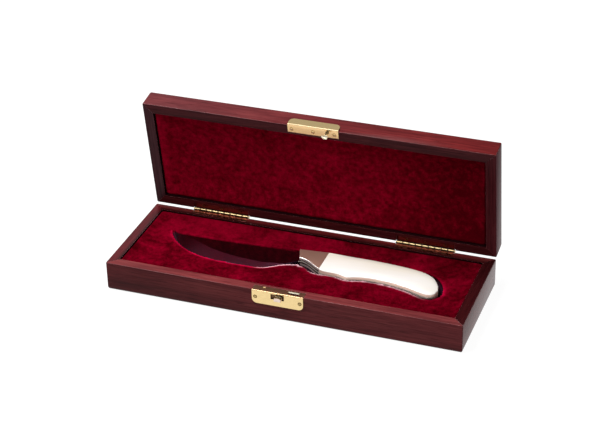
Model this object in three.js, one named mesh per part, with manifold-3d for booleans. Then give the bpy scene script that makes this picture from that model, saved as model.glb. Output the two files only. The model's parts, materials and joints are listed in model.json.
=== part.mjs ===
import * as THREE from 'three';
import { mergeVertices } from 'three/addons/utils/BufferGeometryUtils.js';
import Module from 'manifold-3d';

const wasm = await Module();
wasm.setup();

// Knife display case, in millimetres: X along the case, Y from front to back, Z up from the resting face

// Wooden case
const caseLength = 330;
const caseDepth = 113.6;
const baseHeight = 28.2;
const lidHeight = 20.8;
const wallThickness = 9.6;
const panelThickness = 5;
const panelLedge = 3.6;
const panelRound = 3.4;
const rimRound = 0.6;
const cornerRound = 1.2;
const cornerSharp = 0.2;
const rimGap = 0.5;
const openDegrees = 80.8;

// Gaps left between pieces that are glued, screwed or laid against each other
const seam = 0.3;
const mitreSeam = 0.2;
const seat = 0.1;
const overrun = 5;

// Velvet lining of base and lid
const liningPlay = 0.3;
const bedDrop = 4.2;
const bedRound = 1.2;
const trayBoardThickness = 3;
const padDrop = 6;
const padCrown = 0.8;
const padRound = 1.8;
const padDrawIn = 0.7;
const lidBoardThickness = 2;

// Butt hinges
const hingeLength = 54.2;
const hingeEndDistance = 65.8;
const knuckleCount = 9;
const barrelRadius = 2;
const barrelPlay = 0.4;
const hingePinRadius = 0.8;
const pinHeadRadius = 1.4;
const pinHeadThickness = 0.5;
const pinPlay = 0.2;
const leafThickness = 1;
const leafReach = 6.6;
const axisBehind = 0.9;
const knuckleGap = 0.3;
const leafScrewShare = 1 / 3;

// Countersunk screws
const screwHeadRadius = 1.4;
const screwHeadDepth = 0.7;
const screwShankRadius = 0.7;
const screwTipLength = 1.2;
const screwLength = 6;
const screwPlay = 0.15;

// Catch on the base and strike on the lid, both bent from sheet brass
const fittingLength = 47.4;
const fittingOffset = -0.9;
const fittingThickness = 1;
const fittingBend = 0.8;
const fittingCorner = 4.5;
const catchFaceLeg = 13;
const catchRimLeg = 6.9;
const strikeFaceLeg = 9;
const strikeRimLeg = 7.4;
const windowWidth = 12.4;
const windowHeight = 5.2;
const windowDrop = 1.4;
const windowCorner = 0.6;
const catchFaceScrewSpan = 41.2;
const catchFaceScrewDrop = 6.6;
const catchRimScrewX = -14.1;
const catchRimScrewInset = 5.2;
const strikeScrewSpan = 40;
const strikeScrewInset = 3.7;

// Hook that hangs from the strike, and the slot it drops into
const hookX = 13.3;
const hookInset = 3.2;
const hookLength = 8;
const hookThickness = 1.6;
const hookNeckWidth = 3;
const hookHeadHeight = 3;
const hookBarb = 2.2;
const hookChin = 1.3;
const hookRound = 1.4;
const hookRivetSpread = 0.6;
const hookRivetHeight = 0.7;
const rivetPlay = 0.15;
const slotLength = 10;
const slotWidth = 3.2;

// Spring-loaded thumb slide behind the catch plate
const slideTravel = 3.5;
const slideThickness = 1.6;
const slidePlay = 0.4;
const slideHeight = 5.8;
const slideDrop = 1.5;
const slideLeft = -9;
const slideRight = 9.4;
const heelWidth = 3;
const knobWidth = 7;
const knobHeight = 3.8;
const knobProud = 4.6;
const knobGap = 1.2;
const knobRound = 0.9;
const knobDish = 0.7;
const clawLength = 5.4;
const clawDepth = 2.3;
const clawNose = 1.6;
const latchPlay = 0.3;
const nubRadius = 0.7;
const nubLength = 2.2;

// Return spring of the thumb slide
const springRadius = 1.15;
const springWire = 0.5;
const springLength = 10;
const springCurls = 8;
const springInset = 1.9;
const springPlay = 0.3;

// Knife: its outlines are shares of its length from the tip, and of its depth from its middle line
const knifeLength = 263;
const knifeDepth = 40;
const knifeCentreX = -2.5;
const knifeMiddleY = 4;
const knifeDrop = 1;
const bladeThickness = 1.8;
const edgeThickness = 0.4;
const gripHalfThickness = 4.9;
const bolsterHalfThickness = 4.25;
const gripSeam = 0.15;
const gripSwell = 26;
const buttThicknessShare = 0.5;
const buttFullness = 8;
const recessRoom = 9;
const deepRecessLead = 5;
const bolsterStartBackShare = 0.4787;
const bolsterStartFrontShare = 0.4973;
const bolsterEndShare = 0.5825;
const backShares = [
  [0, 0.42], [0.013, 0.372], [0.03, 0.342], [0.055, 0.33], [0.103, 0.333], [0.156, 0.33], [0.213, 0.34],
  [0.27, 0.358], [0.319, 0.378], [0.365, 0.392], [0.418, 0.405], [0.471, 0.42], [0.525, 0.447],
  [0.58, 0.478], [0.62, 0.492], [0.665, 0.505], [0.707, 0.51], [0.749, 0.503], [0.795, 0.485],
  [0.837, 0.463], [0.878, 0.43], [0.905, 0.397], [0.928, 0.353], [0.951, 0.28], [0.967, 0.195],
  [0.983, 0.055], [0.994, -0.09], [0.998, -0.195], [1, -0.275],
];
const frontShares = [
  [0, 0.42], [0.003, 0.375], [0.011, 0.265], [0.028, 0.11], [0.049, -0.02], [0.069, -0.125],
  [0.089, -0.215], [0.114, -0.295], [0.14, -0.36], [0.167, -0.405], [0.209, -0.445], [0.255, -0.467],
  [0.299, -0.475], [0.343, -0.478], [0.371, -0.472], [0.39, -0.44], [0.403, -0.383], [0.421, -0.297],
  [0.438, -0.212], [0.457, -0.128], [0.475, -0.045], [0.488, 0.03], [0.498, 0.062], [0.51, 0.055],
  [0.522, 0.025], [0.538, -0.035], [0.562, -0.16], [0.576, -0.223], [0.587, -0.265], [0.603, -0.295],
  [0.62, -0.302], [0.64, -0.295], [0.662, -0.312], [0.677, -0.348], [0.688, -0.355], [0.705, -0.315],
  [0.724, -0.28], [0.744, -0.258], [0.765, -0.242], [0.786, -0.242], [0.807, -0.25], [0.829, -0.263],
  [0.851, -0.285], [0.873, -0.318], [0.895, -0.352], [0.918, -0.4], [0.941, -0.455], [0.956, -0.487],
  [0.97, -0.5], [0.982, -0.483], [0.992, -0.432], [0.998, -0.36], [1, -0.275],
];
const backRoomShares = [
  [0, 0.22], [0.03, 0.16], [0.129, 0.18], [0.395, 0.2], [0.464, 0.33], [0.548, 0.27], [0.738, 0.22],
  [0.871, 0.29], [0.935, 0.49], [0.973, 0.58], [1, 0.56],
];
const frontRoomShares = [
  [0, 0.22], [0.02, 0.19], [0.06, 0.14], [0.373, 0.11], [0.418, 0.16], [0.449, 0.27], [0.471, 0.51],
  [0.49, 0.84], [0.502, 0.99], [0.521, 0.92], [0.54, 0.82], [0.567, 0.76], [0.582, 0.6], [0.597, 0.4],
  [0.62, 0.28], [0.643, 0.32], [0.665, 0.38], [0.688, 0.36], [0.707, 0.47], [0.73, 0.44], [0.776, 0.48],
  [0.859, 0.47], [0.913, 0.49], [0.954, 0.54], [0.981, 0.67], [1, 0.56],
];
const grindShares = [
  [0, 0.95], [0.061, 0.82], [0.122, 0.66], [0.205, 0.45], [0.281, 0.33], [0.35, 0.26], [0.384, 0.16],
  [0.403, 0.06], [0.418, 0],
];
const scaleFaceShares = [
  [0, 0], [0, 0.5], [0.03, 0.58], [0.12, 0.76], [0.3, 0.93], [0.5, 1], [0.7, 0.93], [0.88, 0.76],
  [0.97, 0.58], [1, 0.5], [1, 0],
];
const bolsterFaceShares = [
  [0, 0], [0, 0.78], [0.03, 0.94], [0.12, 0.985], [0.3, 1], [0.5, 1], [0.7, 1], [0.88, 0.985],
  [0.97, 0.94], [1, 0.78], [1, 0],
];

// Faces round each curve
const roundSteps = 6;
const cornerSteps = 4;
const rimSteps = 2;
const barrelSides = 16;
const pinSides = 12;
const screwSides = 8;
const bendSteps = 4;
const springStepsPerCurl = 8;
const springSides = 5;
const bladeStations = 84;
const gripStations = 44;
const outlineStations = 88;
const endCrowding = 0.6;
const dishSides = 24;

// Places that several pieces share
const halfLength = caseLength / 2;
const halfDepth = caseDepth / 2;
const hingeOffset = halfLength - hingeEndDistance;
const axisY = halfDepth + axisBehind;
const axisZ = baseHeight + rimGap / 2;
const bedTop = baseHeight - bedDrop;
const bladeMiddleZ = bedTop - knifeDrop;
const trayBoardBottom = panelThickness + seam;
const bedBottom = trayBoardBottom + trayBoardThickness + seam;
const slideFront = slidePlay;
const slideBack = slideFront + slideThickness;
const clawBack = slideBack + clawDepth;
const slideTop = -slideDrop;
const slideBottom = slideTop - slideHeight;
const hookTip = rimGap - hookLength;
const hookShoulder = hookTip + hookHeadHeight;
const clawTip = hookX - hookNeckWidth / 2 - slidePlay;
const knobRight = windowWidth / 2 - knobGap;
const springMiddleZ = (slideTop + slideBottom) / 2;
const springRightEnd = slideLeft - springPlay;

// Materials
const lacqueredWood = new THREE.MeshStandardMaterial({ color: 0x4a2224, roughness: 0.32, metalness: 0 });
const plainBoard = new THREE.MeshStandardMaterial({ color: 0xb08a62, roughness: 0.8, metalness: 0 });
const trayVelvet = new THREE.MeshStandardMaterial({ color: 0x7d0620, roughness: 0.95, metalness: 0 });
const lidVelvet = new THREE.MeshStandardMaterial({ color: 0x5a0716, roughness: 0.95, metalness: 0 });
const brass = new THREE.MeshStandardMaterial({ color: 0xe2bd72, roughness: 0.25, metalness: 1 });
const springSteel = new THREE.MeshStandardMaterial({ color: 0xa8abb0, roughness: 0.3, metalness: 1 });
const bladeSteel = new THREE.MeshStandardMaterial({ color: 0xc8cacf, roughness: 0.08, metalness: 1 });
const bolsterSteel = new THREE.MeshStandardMaterial({ color: 0xb9aca6, roughness: 0.35, metalness: 1 });
const ivoryGrip = new THREE.MeshStandardMaterial({ color: 0xf7efdf, roughness: 0.3, metalness: 0 });

// Solids

function signedVolume(positions, index) {
  const [a, b, c] = [new THREE.Vector3(), new THREE.Vector3(), new THREE.Vector3()];
  let total = 0;
  for (let i = 0; i < index.length; i += 3) {
    a.fromArray(positions, index[i] * 3);
    b.fromArray(positions, index[i + 1] * 3);
    c.fromArray(positions, index[i + 2] * 3);
    total += a.dot(b.cross(c)) / 6;
  }
  return total;
}

function solid(geometry) {
  const bare = geometry.clone();
  for (const name of Object.keys(bare.attributes)) {
    if (name !== 'position') bare.deleteAttribute(name);
  }
  const merged = mergeVertices(bare);
  const vertProperties = new Float32Array(merged.attributes.position.array);
  const triVerts = new Uint32Array(merged.index.array);
  if (signedVolume(vertProperties, triVerts) < 0) triVerts.reverse();
  return new wasm.Manifold(new wasm.Mesh({ numProp: 3, vertProperties, triVerts }));
}

function geometryOf(manifold) {
  const { numProp, vertProperties, triVerts } = manifold.getMesh();
  const geometry = new THREE.BufferGeometry();
  const positions = new Float32Array(vertProperties.length / numProp * 3);
  for (let i = 0; i < positions.length / 3; i++) {
    for (let axis = 0; axis < 3; axis++) positions[3 * i + axis] = vertProperties[numProp * i + axis];
  }
  geometry.setAttribute('position', new THREE.BufferAttribute(positions, 3));
  geometry.setIndex(new THREE.BufferAttribute(new Uint32Array(triVerts), 1));
  geometry.computeVertexNormals();
  return geometry;
}

function piece(name, manifold, material) {
  const mesh = new THREE.Mesh(geometryOf(manifold), material);
  mesh.name = name;
  return mesh;
}

function block(low, high) {
  const size = high.map((value, axis) => value - low[axis]);
  const geometry = new THREE.BoxGeometry(...size);
  return solid(geometry.translate(...low.map((value, axis) => value + size[axis] / 2)));
}

function extrusion(shape, depth) {
  return new THREE.ExtrudeGeometry(shape, { depth, bevelEnabled: false, curveSegments: bendSteps });
}

// Outline in X and Y, standing from one height to another
function standing(shape, bottom, top) {
  return solid(extrusion(shape, top - bottom).translate(0, 0, bottom));
}

// Outline in X and Z, running from front to back
function facing(shape, front, back) {
  return solid(extrusion(shape, back - front).rotateX(Math.PI / 2).translate(0, back, 0));
}

// Outline in Y and Z, running along X
function running(shape, left, right) {
  const turn = new THREE.Matrix4().makeBasis(
    new THREE.Vector3(0, 1, 0),
    new THREE.Vector3(0, 0, 1),
    new THREE.Vector3(1, 0, 0),
  );
  return solid(extrusion(shape, right - left).applyMatrix4(turn).translate(left, 0, 0));
}

function rodAlongX(radius, left, right, sides) {
  const geometry = new THREE.CylinderGeometry(radius, radius, right - left, sides);
  return solid(geometry.rotateZ(Math.PI / 2).translate((left + right) / 2, 0, 0));
}

// Closed skin over rings of the same number of points
function loft(rings) {
  const count = rings[0].length;
  const positions = rings.flat().flatMap((point) => point.toArray());
  const index = [];
  for (let ring = 0; ring + 1 < rings.length; ring++) {
    for (let i = 0; i < count; i++) {
      const [a, b] = [ring * count + i, ring * count + (i + 1) % count];
      index.push(a, b, a + count, b, b + count, a + count);
    }
  }
  const last = (rings.length - 1) * count;
  for (let i = 1; i + 1 < count; i++) {
    index.push(0, i + 1, i);
    index.push(last, last + i, last + i + 1);
  }
  const geometry = new THREE.BufferGeometry();
  geometry.setAttribute('position', new THREE.Float32BufferAttribute(positions, 3));
  geometry.setIndex(index);
  return solid(geometry);
}

function roundedRing(halfX, halfY, radius, z) {
  const ring = [];
  for (let corner = 0; corner < 4; corner++) {
    const [sideX, sideY] = [[1, 1], [-1, 1], [-1, -1], [1, -1]][corner];
    for (let step = 0; step <= cornerSteps; step++) {
      const angle = (corner + step / cornerSteps) * Math.PI / 2;
      const x = sideX * (halfX - radius) + radius * Math.cos(angle);
      const y = sideY * (halfY - radius) + radius * Math.sin(angle);
      ring.push(new THREE.Vector3(x, y, z));
    }
  }
  return ring;
}

// Smooth curve through a table of places and values, slopes taken from the neighbours
function along(table, place) {
  const last = table.length - 1;
  const slope = (i) => {
    const [before, after] = [table[Math.max(i - 1, 0)], table[Math.min(i + 1, last)]];
    return (after[1] - before[1]) / (after[0] - before[0]);
  };
  let i = 0;
  while (i < last - 1 && place > table[i + 1][0]) i++;
  const [[x0, y0], [x1, y1]] = [table[i], table[i + 1]];
  const span = x1 - x0;
  const t = Math.min(Math.max((place - x0) / span, 0), 1);
  const [t2, t3] = [t * t, t * t * t];
  return (2 * t3 - 3 * t2 + 1) * y0 + (t3 - 2 * t2 + t) * span * slope(i)
    + (3 * t2 - 2 * t3) * y1 + (t3 - t2) * span * slope(i + 1);
}

// Mitred frames

function roundedBlank(height) {
  const rings = [];
  const ring = (inset, z) => {
    const radius = Math.max(cornerRound - inset, cornerSharp);
    rings.push(roundedRing(halfLength - inset, halfDepth - inset, radius, z));
  };
  for (let step = 0; step <= roundSteps; step++) {
    const angle = step / roundSteps * Math.PI / 2;
    ring(panelRound * (1 - Math.sin(angle)), panelRound * (1 - Math.cos(angle)));
  }
  for (let step = 0; step <= rimSteps; step++) {
    const angle = step / rimSteps * Math.PI / 2;
    ring(rimRound * (1 - Math.cos(angle)), height - rimRound * (1 - Math.sin(angle)));
  }
  return loft(rings);
}

// Four mitred walls of an open box that lies on its panel, each with its own cuts
function mitredWalls(height, cutsBySide) {
  const cavity = block(
    [-halfLength + wallThickness, -halfDepth + wallThickness, -overrun],
    [halfLength - wallThickness, halfDepth - wallThickness, height + overrun],
  );
  const ledgeInset = wallThickness - panelLedge;
  const rebate = block(
    [-halfLength + ledgeInset, -halfDepth + ledgeInset, -overrun],
    [halfLength - ledgeInset, halfDepth - ledgeInset, panelThickness + seat],
  );
  const frame = roundedBlank(height).subtract(cavity).subtract(rebate);
  const sides = { front: 0, right: 1, back: 2, left: 3 };
  const walls = {};
  for (const [side, quarter] of Object.entries(sides)) {
    const [reach, out] = quarter % 2 === 0 ? [halfLength, halfDepth] : [halfDepth, halfLength];
    const step = mitreSeam / Math.SQRT2;
    const inwards = 2 * wallThickness;
    const region = new THREE.Shape();
    region.moveTo(-reach - overrun + step, -out - overrun);
    region.lineTo(reach + overrun - step, -out - overrun);
    region.lineTo(reach - inwards - step, -out + inwards);
    region.lineTo(-reach + inwards + step, -out + inwards);
    region.closePath();
    let wall = frame.intersect(standing(region, -overrun, height + overrun).rotate([0, 0, 90 * quarter]));
    for (const cut of cutsBySide[side] ?? []) wall = wall.subtract(cut);
    walls[side] = wall;
  }
  return walls;
}

function framePanel() {
  const inset = wallThickness - panelLedge + seam;
  const [halfX, halfY] = [halfLength - inset, halfDepth - inset];
  return block([-halfX, -halfY, 0], [halfX, halfY, panelThickness]);
}

function liningBoard(bottom, thickness) {
  const inset = wallThickness + liningPlay;
  const [halfX, halfY] = [halfLength - inset, halfDepth - inset];
  return block([-halfX, -halfY, bottom], [halfX, halfY, bottom + thickness]);
}

// Countersunk screw with its head's top at the origin, pointing down; play makes it the hole for one
function screwForm(play) {
  const top = play > 0 ? overrun : 0;
  const rim = play > 0 ? [[screwHeadRadius + play, top]] : [];
  const profile = [
    [0, top],
    ...rim,
    [screwHeadRadius + play, 0],
    [screwShankRadius + play, -screwHeadDepth - play],
    [screwShankRadius + play, -screwLength + screwTipLength - play],
    [0, -screwLength - play],
  ];
  const points = profile.map(([radius, height]) => new THREE.Vector2(radius, height));
  return solid(new THREE.LatheGeometry(points, screwSides).rotateX(Math.PI / 2));
}

const screwHole = screwForm(screwPlay);

// Hinges, built round their axis with the leaf reaching towards the front and lying below the axis

const leafTop = -rimGap / 2;
const leafFront = -axisBehind - leafReach;
const leafBack = -barrelRadius - knuckleGap;
const leafScrewY = (leafFront + leafBack) / 2;
const leafScrewPlaces = [-1, 0, 1].map((turn) => (
  [turn * leafScrewShare * hingeLength, leafScrewY, leafTop - seat]
));

function hingeLeaf(firstKnuckle) {
  const pitch = hingeLength / knuckleCount;
  const low = leafTop - leafThickness;
  let leaf = block([-hingeLength / 2, leafFront, low], [hingeLength / 2, leafBack, leafTop]);
  for (let i = firstKnuckle; i < knuckleCount; i += 2) {
    const left = -hingeLength / 2 + i * pitch + (i > 0 ? knuckleGap / 2 : 0);
    const right = -hingeLength / 2 + (i + 1) * pitch - (i < knuckleCount - 1 ? knuckleGap / 2 : 0);
    leaf = leaf.add(block([left, leafBack - knuckleGap, low], [right, -hingePinRadius, leafTop]));
    leaf = leaf.add(rodAlongX(barrelRadius, left, right, barrelSides));
  }
  leaf = leaf.subtract(rodAlongX(hingePinRadius + pinPlay, -hingeLength, hingeLength, pinSides));
  for (const place of leafScrewPlaces) leaf = leaf.subtract(screwHole.translate(place));
  return leaf;
}

function hingePin() {
  const end = hingeLength / 2 + pinPlay;
  const head = end + pinHeadThickness;
  const profile = [
    [0, -head],
    [pinHeadRadius, -head],
    [pinHeadRadius, -end],
    [hingePinRadius, -end],
    [hingePinRadius, end],
    [pinHeadRadius, end],
    [pinHeadRadius, head],
    [0, head],
  ];
  const points = profile.map(([radius, height]) => new THREE.Vector2(radius, height));
  return solid(new THREE.LatheGeometry(points, pinSides).rotateZ(Math.PI / 2));
}

// Space that one hinge takes from the wood of base or lid
function hingePocket() {
  const end = hingeLength / 2 + pinPlay + pinHeadThickness + seam;
  const side = hingeLength / 2 + mitreSeam;
  const leafFloor = leafTop - leafThickness - seat;
  const leafBed = block([-side, leafFront - mitreSeam, leafFloor], [side, overrun, overrun]);
  let pocket = leafBed.add(rodAlongX(barrelRadius + barrelPlay, -end, end, barrelSides));
  for (const place of leafScrewPlaces) pocket = pocket.add(screwHole.translate(place));
  return pocket;
}

// Bent corner plates: the origin is where rim and front face meet, Y inwards and Z up out of the wood

function cornerPlate(rimLeg, faceLeg) {
  const outer = -fittingThickness - seat;
  const profile = new THREE.Shape();
  profile.moveTo(rimLeg, -fittingThickness);
  profile.lineTo(rimLeg, 0);
  profile.lineTo(outer + fittingBend, 0);
  profile.absarc(outer + fittingBend, -fittingBend, fittingBend, Math.PI / 2, Math.PI, false);
  profile.lineTo(outer, -faceLeg);
  profile.lineTo(-seat, -faceLeg);
  profile.lineTo(-seat, -fittingThickness);
  profile.closePath();
  const half = fittingLength / 2;
  const outline = new THREE.Shape();
  outline.moveTo(-half, overrun);
  outline.lineTo(-half, -faceLeg + fittingCorner);
  const cornerZ = -faceLeg + fittingCorner;
  outline.absarc(-half + fittingCorner, cornerZ, fittingCorner, Math.PI, 3 * Math.PI / 2, false);
  outline.absarc(half - fittingCorner, cornerZ, fittingCorner, 3 * Math.PI / 2, 2 * Math.PI, false);
  outline.lineTo(half, overrun);
  outline.closePath();
  return running(profile, -half, half).intersect(facing(outline, outer - overrun, rimLeg + overrun));
}

// Bed in the wood for the rim leg of a corner plate
function rimLegBed(rimLeg) {
  const half = fittingLength / 2 + mitreSeam;
  return block([-half, -overrun, -fittingThickness - seat], [half, rimLeg + mitreSeam, overrun]);
}

const catchFaceScrews = [-1, 1].map((side) => (
  [side * catchFaceScrewSpan / 2, -fittingThickness, -catchFaceScrewDrop]
));
const catchRimScrew = [catchRimScrewX, catchRimScrewInset, -seat];
const strikeScrews = [-1, 0, 1].map((side) => [side * strikeScrewSpan / 2, strikeScrewInset, -seat]);
const screwIntoFace = [90, 0, 0];

function catchPlate() {
  const window = new THREE.Shape();
  const [left, right] = [-windowWidth / 2, windowWidth / 2];
  const [top, bottom] = [-windowDrop, -windowDrop - windowHeight];
  const round = windowCorner;
  window.absarc(right - round, top - round, round, 0, Math.PI / 2, false);
  window.absarc(left + round, top - round, round, Math.PI / 2, Math.PI, false);
  window.absarc(left + round, bottom + round, round, Math.PI, 3 * Math.PI / 2, false);
  window.absarc(right - round, bottom + round, round, 3 * Math.PI / 2, 2 * Math.PI, false);
  window.closePath();
  const slot = block(
    [hookX - slotLength / 2, hookInset - slotWidth / 2, -overrun],
    [hookX + slotLength / 2, hookInset + slotWidth / 2, overrun],
  );
  let plate = cornerPlate(catchRimLeg, catchFaceLeg).subtract(facing(window, -overrun, 0)).subtract(slot);
  const faceHole = screwHole.rotate(screwIntoFace);
  for (const place of catchFaceScrews) plate = plate.subtract(faceHole.translate(place));
  return plate.subtract(screwHole.translate(catchRimScrew));
}

// Space that the catch takes from the front wall: bed, mechanism and hook pocket, spring tunnel and screws
function catchPocket() {
  const pocketLeft = slideLeft - slideTravel - slidePlay;
  const pocketRight = hookX + slotLength / 2 + slidePlay;
  const floor = Math.min(slideBottom, hookTip) - slidePlay;
  const springLeft = springRightEnd - springLength - springPlay;
  const springReach = springRadius + springWire / 2 + springPlay;
  let pocket = rimLegBed(catchRimLeg);
  pocket = pocket.add(block([pocketLeft, -overrun, floor], [pocketRight, clawBack + slidePlay, overrun]));
  pocket = pocket.add(block(
    [springLeft, springInset - springReach, springMiddleZ - springReach],
    [pocketLeft + overrun, springInset + springReach, springMiddleZ + springReach],
  ));
  const faceHole = screwHole.rotate(screwIntoFace);
  for (const place of catchFaceScrews) pocket = pocket.add(faceHole.translate(place));
  return pocket.add(screwHole.translate(catchRimScrew));
}

// Slide with its knob in the window, its claw over the hook's barb, and a nub for the spring
function thumbSlide() {
  const bar = block([slideLeft, slideFront, slideBottom], [slideRight, slideBack, slideTop]);
  const heel = block([slideLeft, slideFront, slideBottom], [slideLeft + heelWidth, clawBack, slideTop]);
  const clawBottom = hookShoulder + latchPlay;
  const claw = new THREE.Shape();
  claw.moveTo(clawTip - clawLength, clawBottom);
  claw.lineTo(clawTip, clawBottom);
  claw.lineTo(clawTip, slideTop - clawNose);
  claw.lineTo(clawTip - clawNose, slideTop);
  claw.lineTo(clawTip - clawLength, slideTop);
  claw.closePath();
  const nub = rodAlongX(nubRadius, slideLeft - nubLength, slideLeft + heelWidth / 2, screwSides);
  return bar.add(heel)
    .add(facing(claw, slideFront, clawBack))
    .add(nub.translate([0, springInset, springMiddleZ]))
    .add(thumbKnob());
}

// Knob with rounded corners that swells outwards and is dished where the thumb presses
function thumbKnob() {
  const middleX = knobRight - knobWidth / 2;
  const middleZ = -windowDrop - windowHeight / 2;
  const front = -fittingThickness - seat - knobProud;
  const rings = [];
  const ring = (y, inset) => {
    const flat = roundedRing(knobWidth / 2 - inset, knobHeight / 2 - inset, knobRound, 0);
    rings.push(flat.map(({ x, y: z }) => new THREE.Vector3(middleX + x, y, middleZ + z)));
  };
  ring(slideBack, knobDish / 2);
  ring(-fittingThickness - seat, knobDish / 2);
  ring(front + knobRound, 0);
  ring(front, knobDish / 2);
  const dish = new THREE.SphereGeometry(knobWidth, dishSides, dishSides / 2);
  const depth = knobWidth - knobDish;
  return loft(rings).subtract(solid(dish.translate(middleX, front - depth, middleZ)));
}

function returnSpring() {
  const steps = springCurls * springStepsPerCurl;
  const rise = springLength - springWire;
  const rings = [];
  const centres = [];
  for (let step = 0; step <= steps; step++) {
    const turn = step / springStepsPerCurl * 2 * Math.PI;
    const outward = new THREE.Vector3(0, Math.cos(turn), Math.sin(turn));
    const forward = new THREE.Vector3(rise / springCurls, 0, 0)
      .addScaledVector(new THREE.Vector3(0, -Math.sin(turn), Math.cos(turn)), 2 * Math.PI * springRadius)
      .normalize();
    const across = new THREE.Vector3().crossVectors(forward, outward);
    const left = springRightEnd - springLength + springWire / 2;
    const centre = new THREE.Vector3(left + rise * step / steps, springInset, springMiddleZ)
      .addScaledVector(outward, springRadius);
    centres.push(centre);
    const ring = [];
    for (let side = 0; side < springSides; side++) {
      const angle = side / springSides * 2 * Math.PI;
      const point = centre.clone().addScaledVector(outward, springWire / 2 * Math.cos(angle));
      ring.push(point.addScaledVector(across, springWire / 2 * Math.sin(angle)));
    }
    rings.push(ring);
  }
  let least = Infinity;
  for (let i = 0; i < centres.length; i++) {
    for (let j = i + springStepsPerCurl / 2; j < centres.length; j++) {
      least = Math.min(least, centres[i].distanceTo(centres[j]) - springWire);
    }
  }
  console.log(`return spring: least gap to itself ${least.toFixed(2)} mm`);
  return loft(rings);
}

function strikePlate() {
  let plate = cornerPlate(strikeRimLeg, strikeFaceLeg);
  for (const place of strikeScrews) plate = plate.subtract(screwHole.translate(place));
  return plate.subtract(rivetShank(rivetPlay));
}

// Shank of the hook, through the strike plate and spread behind it; X points the other way here
function rivetShank(play) {
  const half = hookNeckWidth / 2 + play;
  const thick = hookThickness / 2 + play;
  const behind = -fittingThickness - hookRivetHeight - play;
  const above = play > 0 ? overrun : 0;
  const under = play > 0 ? 0 : seat;
  const shank = block([-hookX - half, hookInset - thick, behind], [-hookX + half, hookInset + thick, above]);
  const head = block(
    [-hookX - half - hookRivetSpread, hookInset - thick - hookRivetSpread, behind],
    [-hookX + half + hookRivetSpread, hookInset + thick + hookRivetSpread, -fittingThickness - under],
  );
  return shank.add(head);
}

// Hook with a barb on one side and a rounded nose that wedges the claw aside
function strikeHook() {
  const neck = hookNeckWidth / 2;
  const shoulder = hookLength - hookHeadHeight;
  const [barbX, chinX] = [-hookX + neck + hookBarb, -hookX - neck - hookChin];
  const outline = new THREE.Shape();
  outline.moveTo(-hookX - neck, -seat);
  outline.lineTo(-hookX + neck, -seat);
  outline.lineTo(-hookX + neck, shoulder);
  outline.lineTo(barbX, shoulder);
  outline.lineTo(barbX, shoulder + hookHeadHeight / 4);
  outline.quadraticCurveTo(barbX, hookLength - hookRound / 4, barbX - hookBarb - neck / 2, hookLength);
  outline.lineTo(chinX + hookRound, hookLength);
  outline.quadraticCurveTo(chinX, hookLength, chinX, hookLength - hookRound);
  outline.lineTo(chinX, shoulder + hookRound / 2);
  outline.quadraticCurveTo(chinX, shoulder, -hookX - neck, shoulder - hookRound / 4);
  outline.closePath();
  const blade = facing(outline, hookInset - hookThickness / 2, hookInset + hookThickness / 2);
  return blade.add(rivetShank(0));
}

function strikePocket() {
  let pocket = rimLegBed(strikeRimLeg).add(rivetShank(seam));
  for (const place of strikeScrews) pocket = pocket.add(screwHole.translate(place));
  return pocket;
}

// Knife, lying flat with its edge to the front and its tip to the left

const knifeLeft = knifeCentreX - knifeLength / 2;
const knifeX = (share) => knifeLeft + share * knifeLength;
const backY = (share) => knifeMiddleY + along(backShares, share) * knifeDepth;
const frontY = (share) => knifeMiddleY + along(frontShares, share) * knifeDepth;

// Stations that crowd towards both rounded ends
function stations(count, start, end) {
  const places = [];
  for (let i = 0; i <= count; i++) {
    const crowded = (1 - Math.cos(Math.PI * i / count)) / 2;
    places.push(THREE.MathUtils.lerp(start, end, THREE.MathUtils.lerp(i / count, crowded, endCrowding)));
  }
  return places;
}

// Rim of the recess: the knife's outline moved outwards, with more room in front of the grip and at the butt
function recessOutline() {
  const places = stations(outlineStations, 0, 1);
  const side = (edgeY, roomShares) => places.map((share) => ({
    at: new THREE.Vector2(knifeX(share), edgeY(share)),
    room: along(roomShares, share) * recessRoom,
  }));
  const rim = [...side(backY, backRoomShares), ...side(frontY, frontRoomShares).slice(1, -1).reverse()];
  const turn = Math.sign(THREE.ShapeUtils.area(rim.map(({ at }) => at)));
  return rim.map(({ at, room }, i) => {
    const before = rim[(i + rim.length - 1) % rim.length].at;
    const after = rim[(i + 1) % rim.length].at;
    const outward = new THREE.Vector2(after.y - before.y, before.x - after.x).normalize();
    return at.clone().addScaledVector(outward, turn * room);
  });
}

// Blade and full tang in one piece: flat back, ground down to the edge ahead of the grip
function bladeWithTang() {
  const rings = stations(bladeStations, 0, 1).map((share) => {
    const [x, back, front] = [knifeX(share), backY(share), frontY(share)];
    const inBlade = share < bolsterStartFrontShare;
    const grind = inBlade ? Math.max(along(grindShares, Math.min(share, bolsterStartBackShare)), 0) : 0;
    const height = Math.max(back - front, edgeThickness);
    const half = bladeThickness / 2;
    const edge = grind > 0 ? edgeThickness / 2 : half;
    const grindY = front + Math.max(grind, cornerSharp / knifeDepth) * height;
    return [
      [front + height, half],
      [grindY, half],
      [front, edge],
      [front, -edge],
      [grindY, -half],
      [front + height, -half],
    ].map(([y, z]) => new THREE.Vector3(x, y, bladeMiddleZ + z));
  });
  return loft(rings);
}

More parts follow.
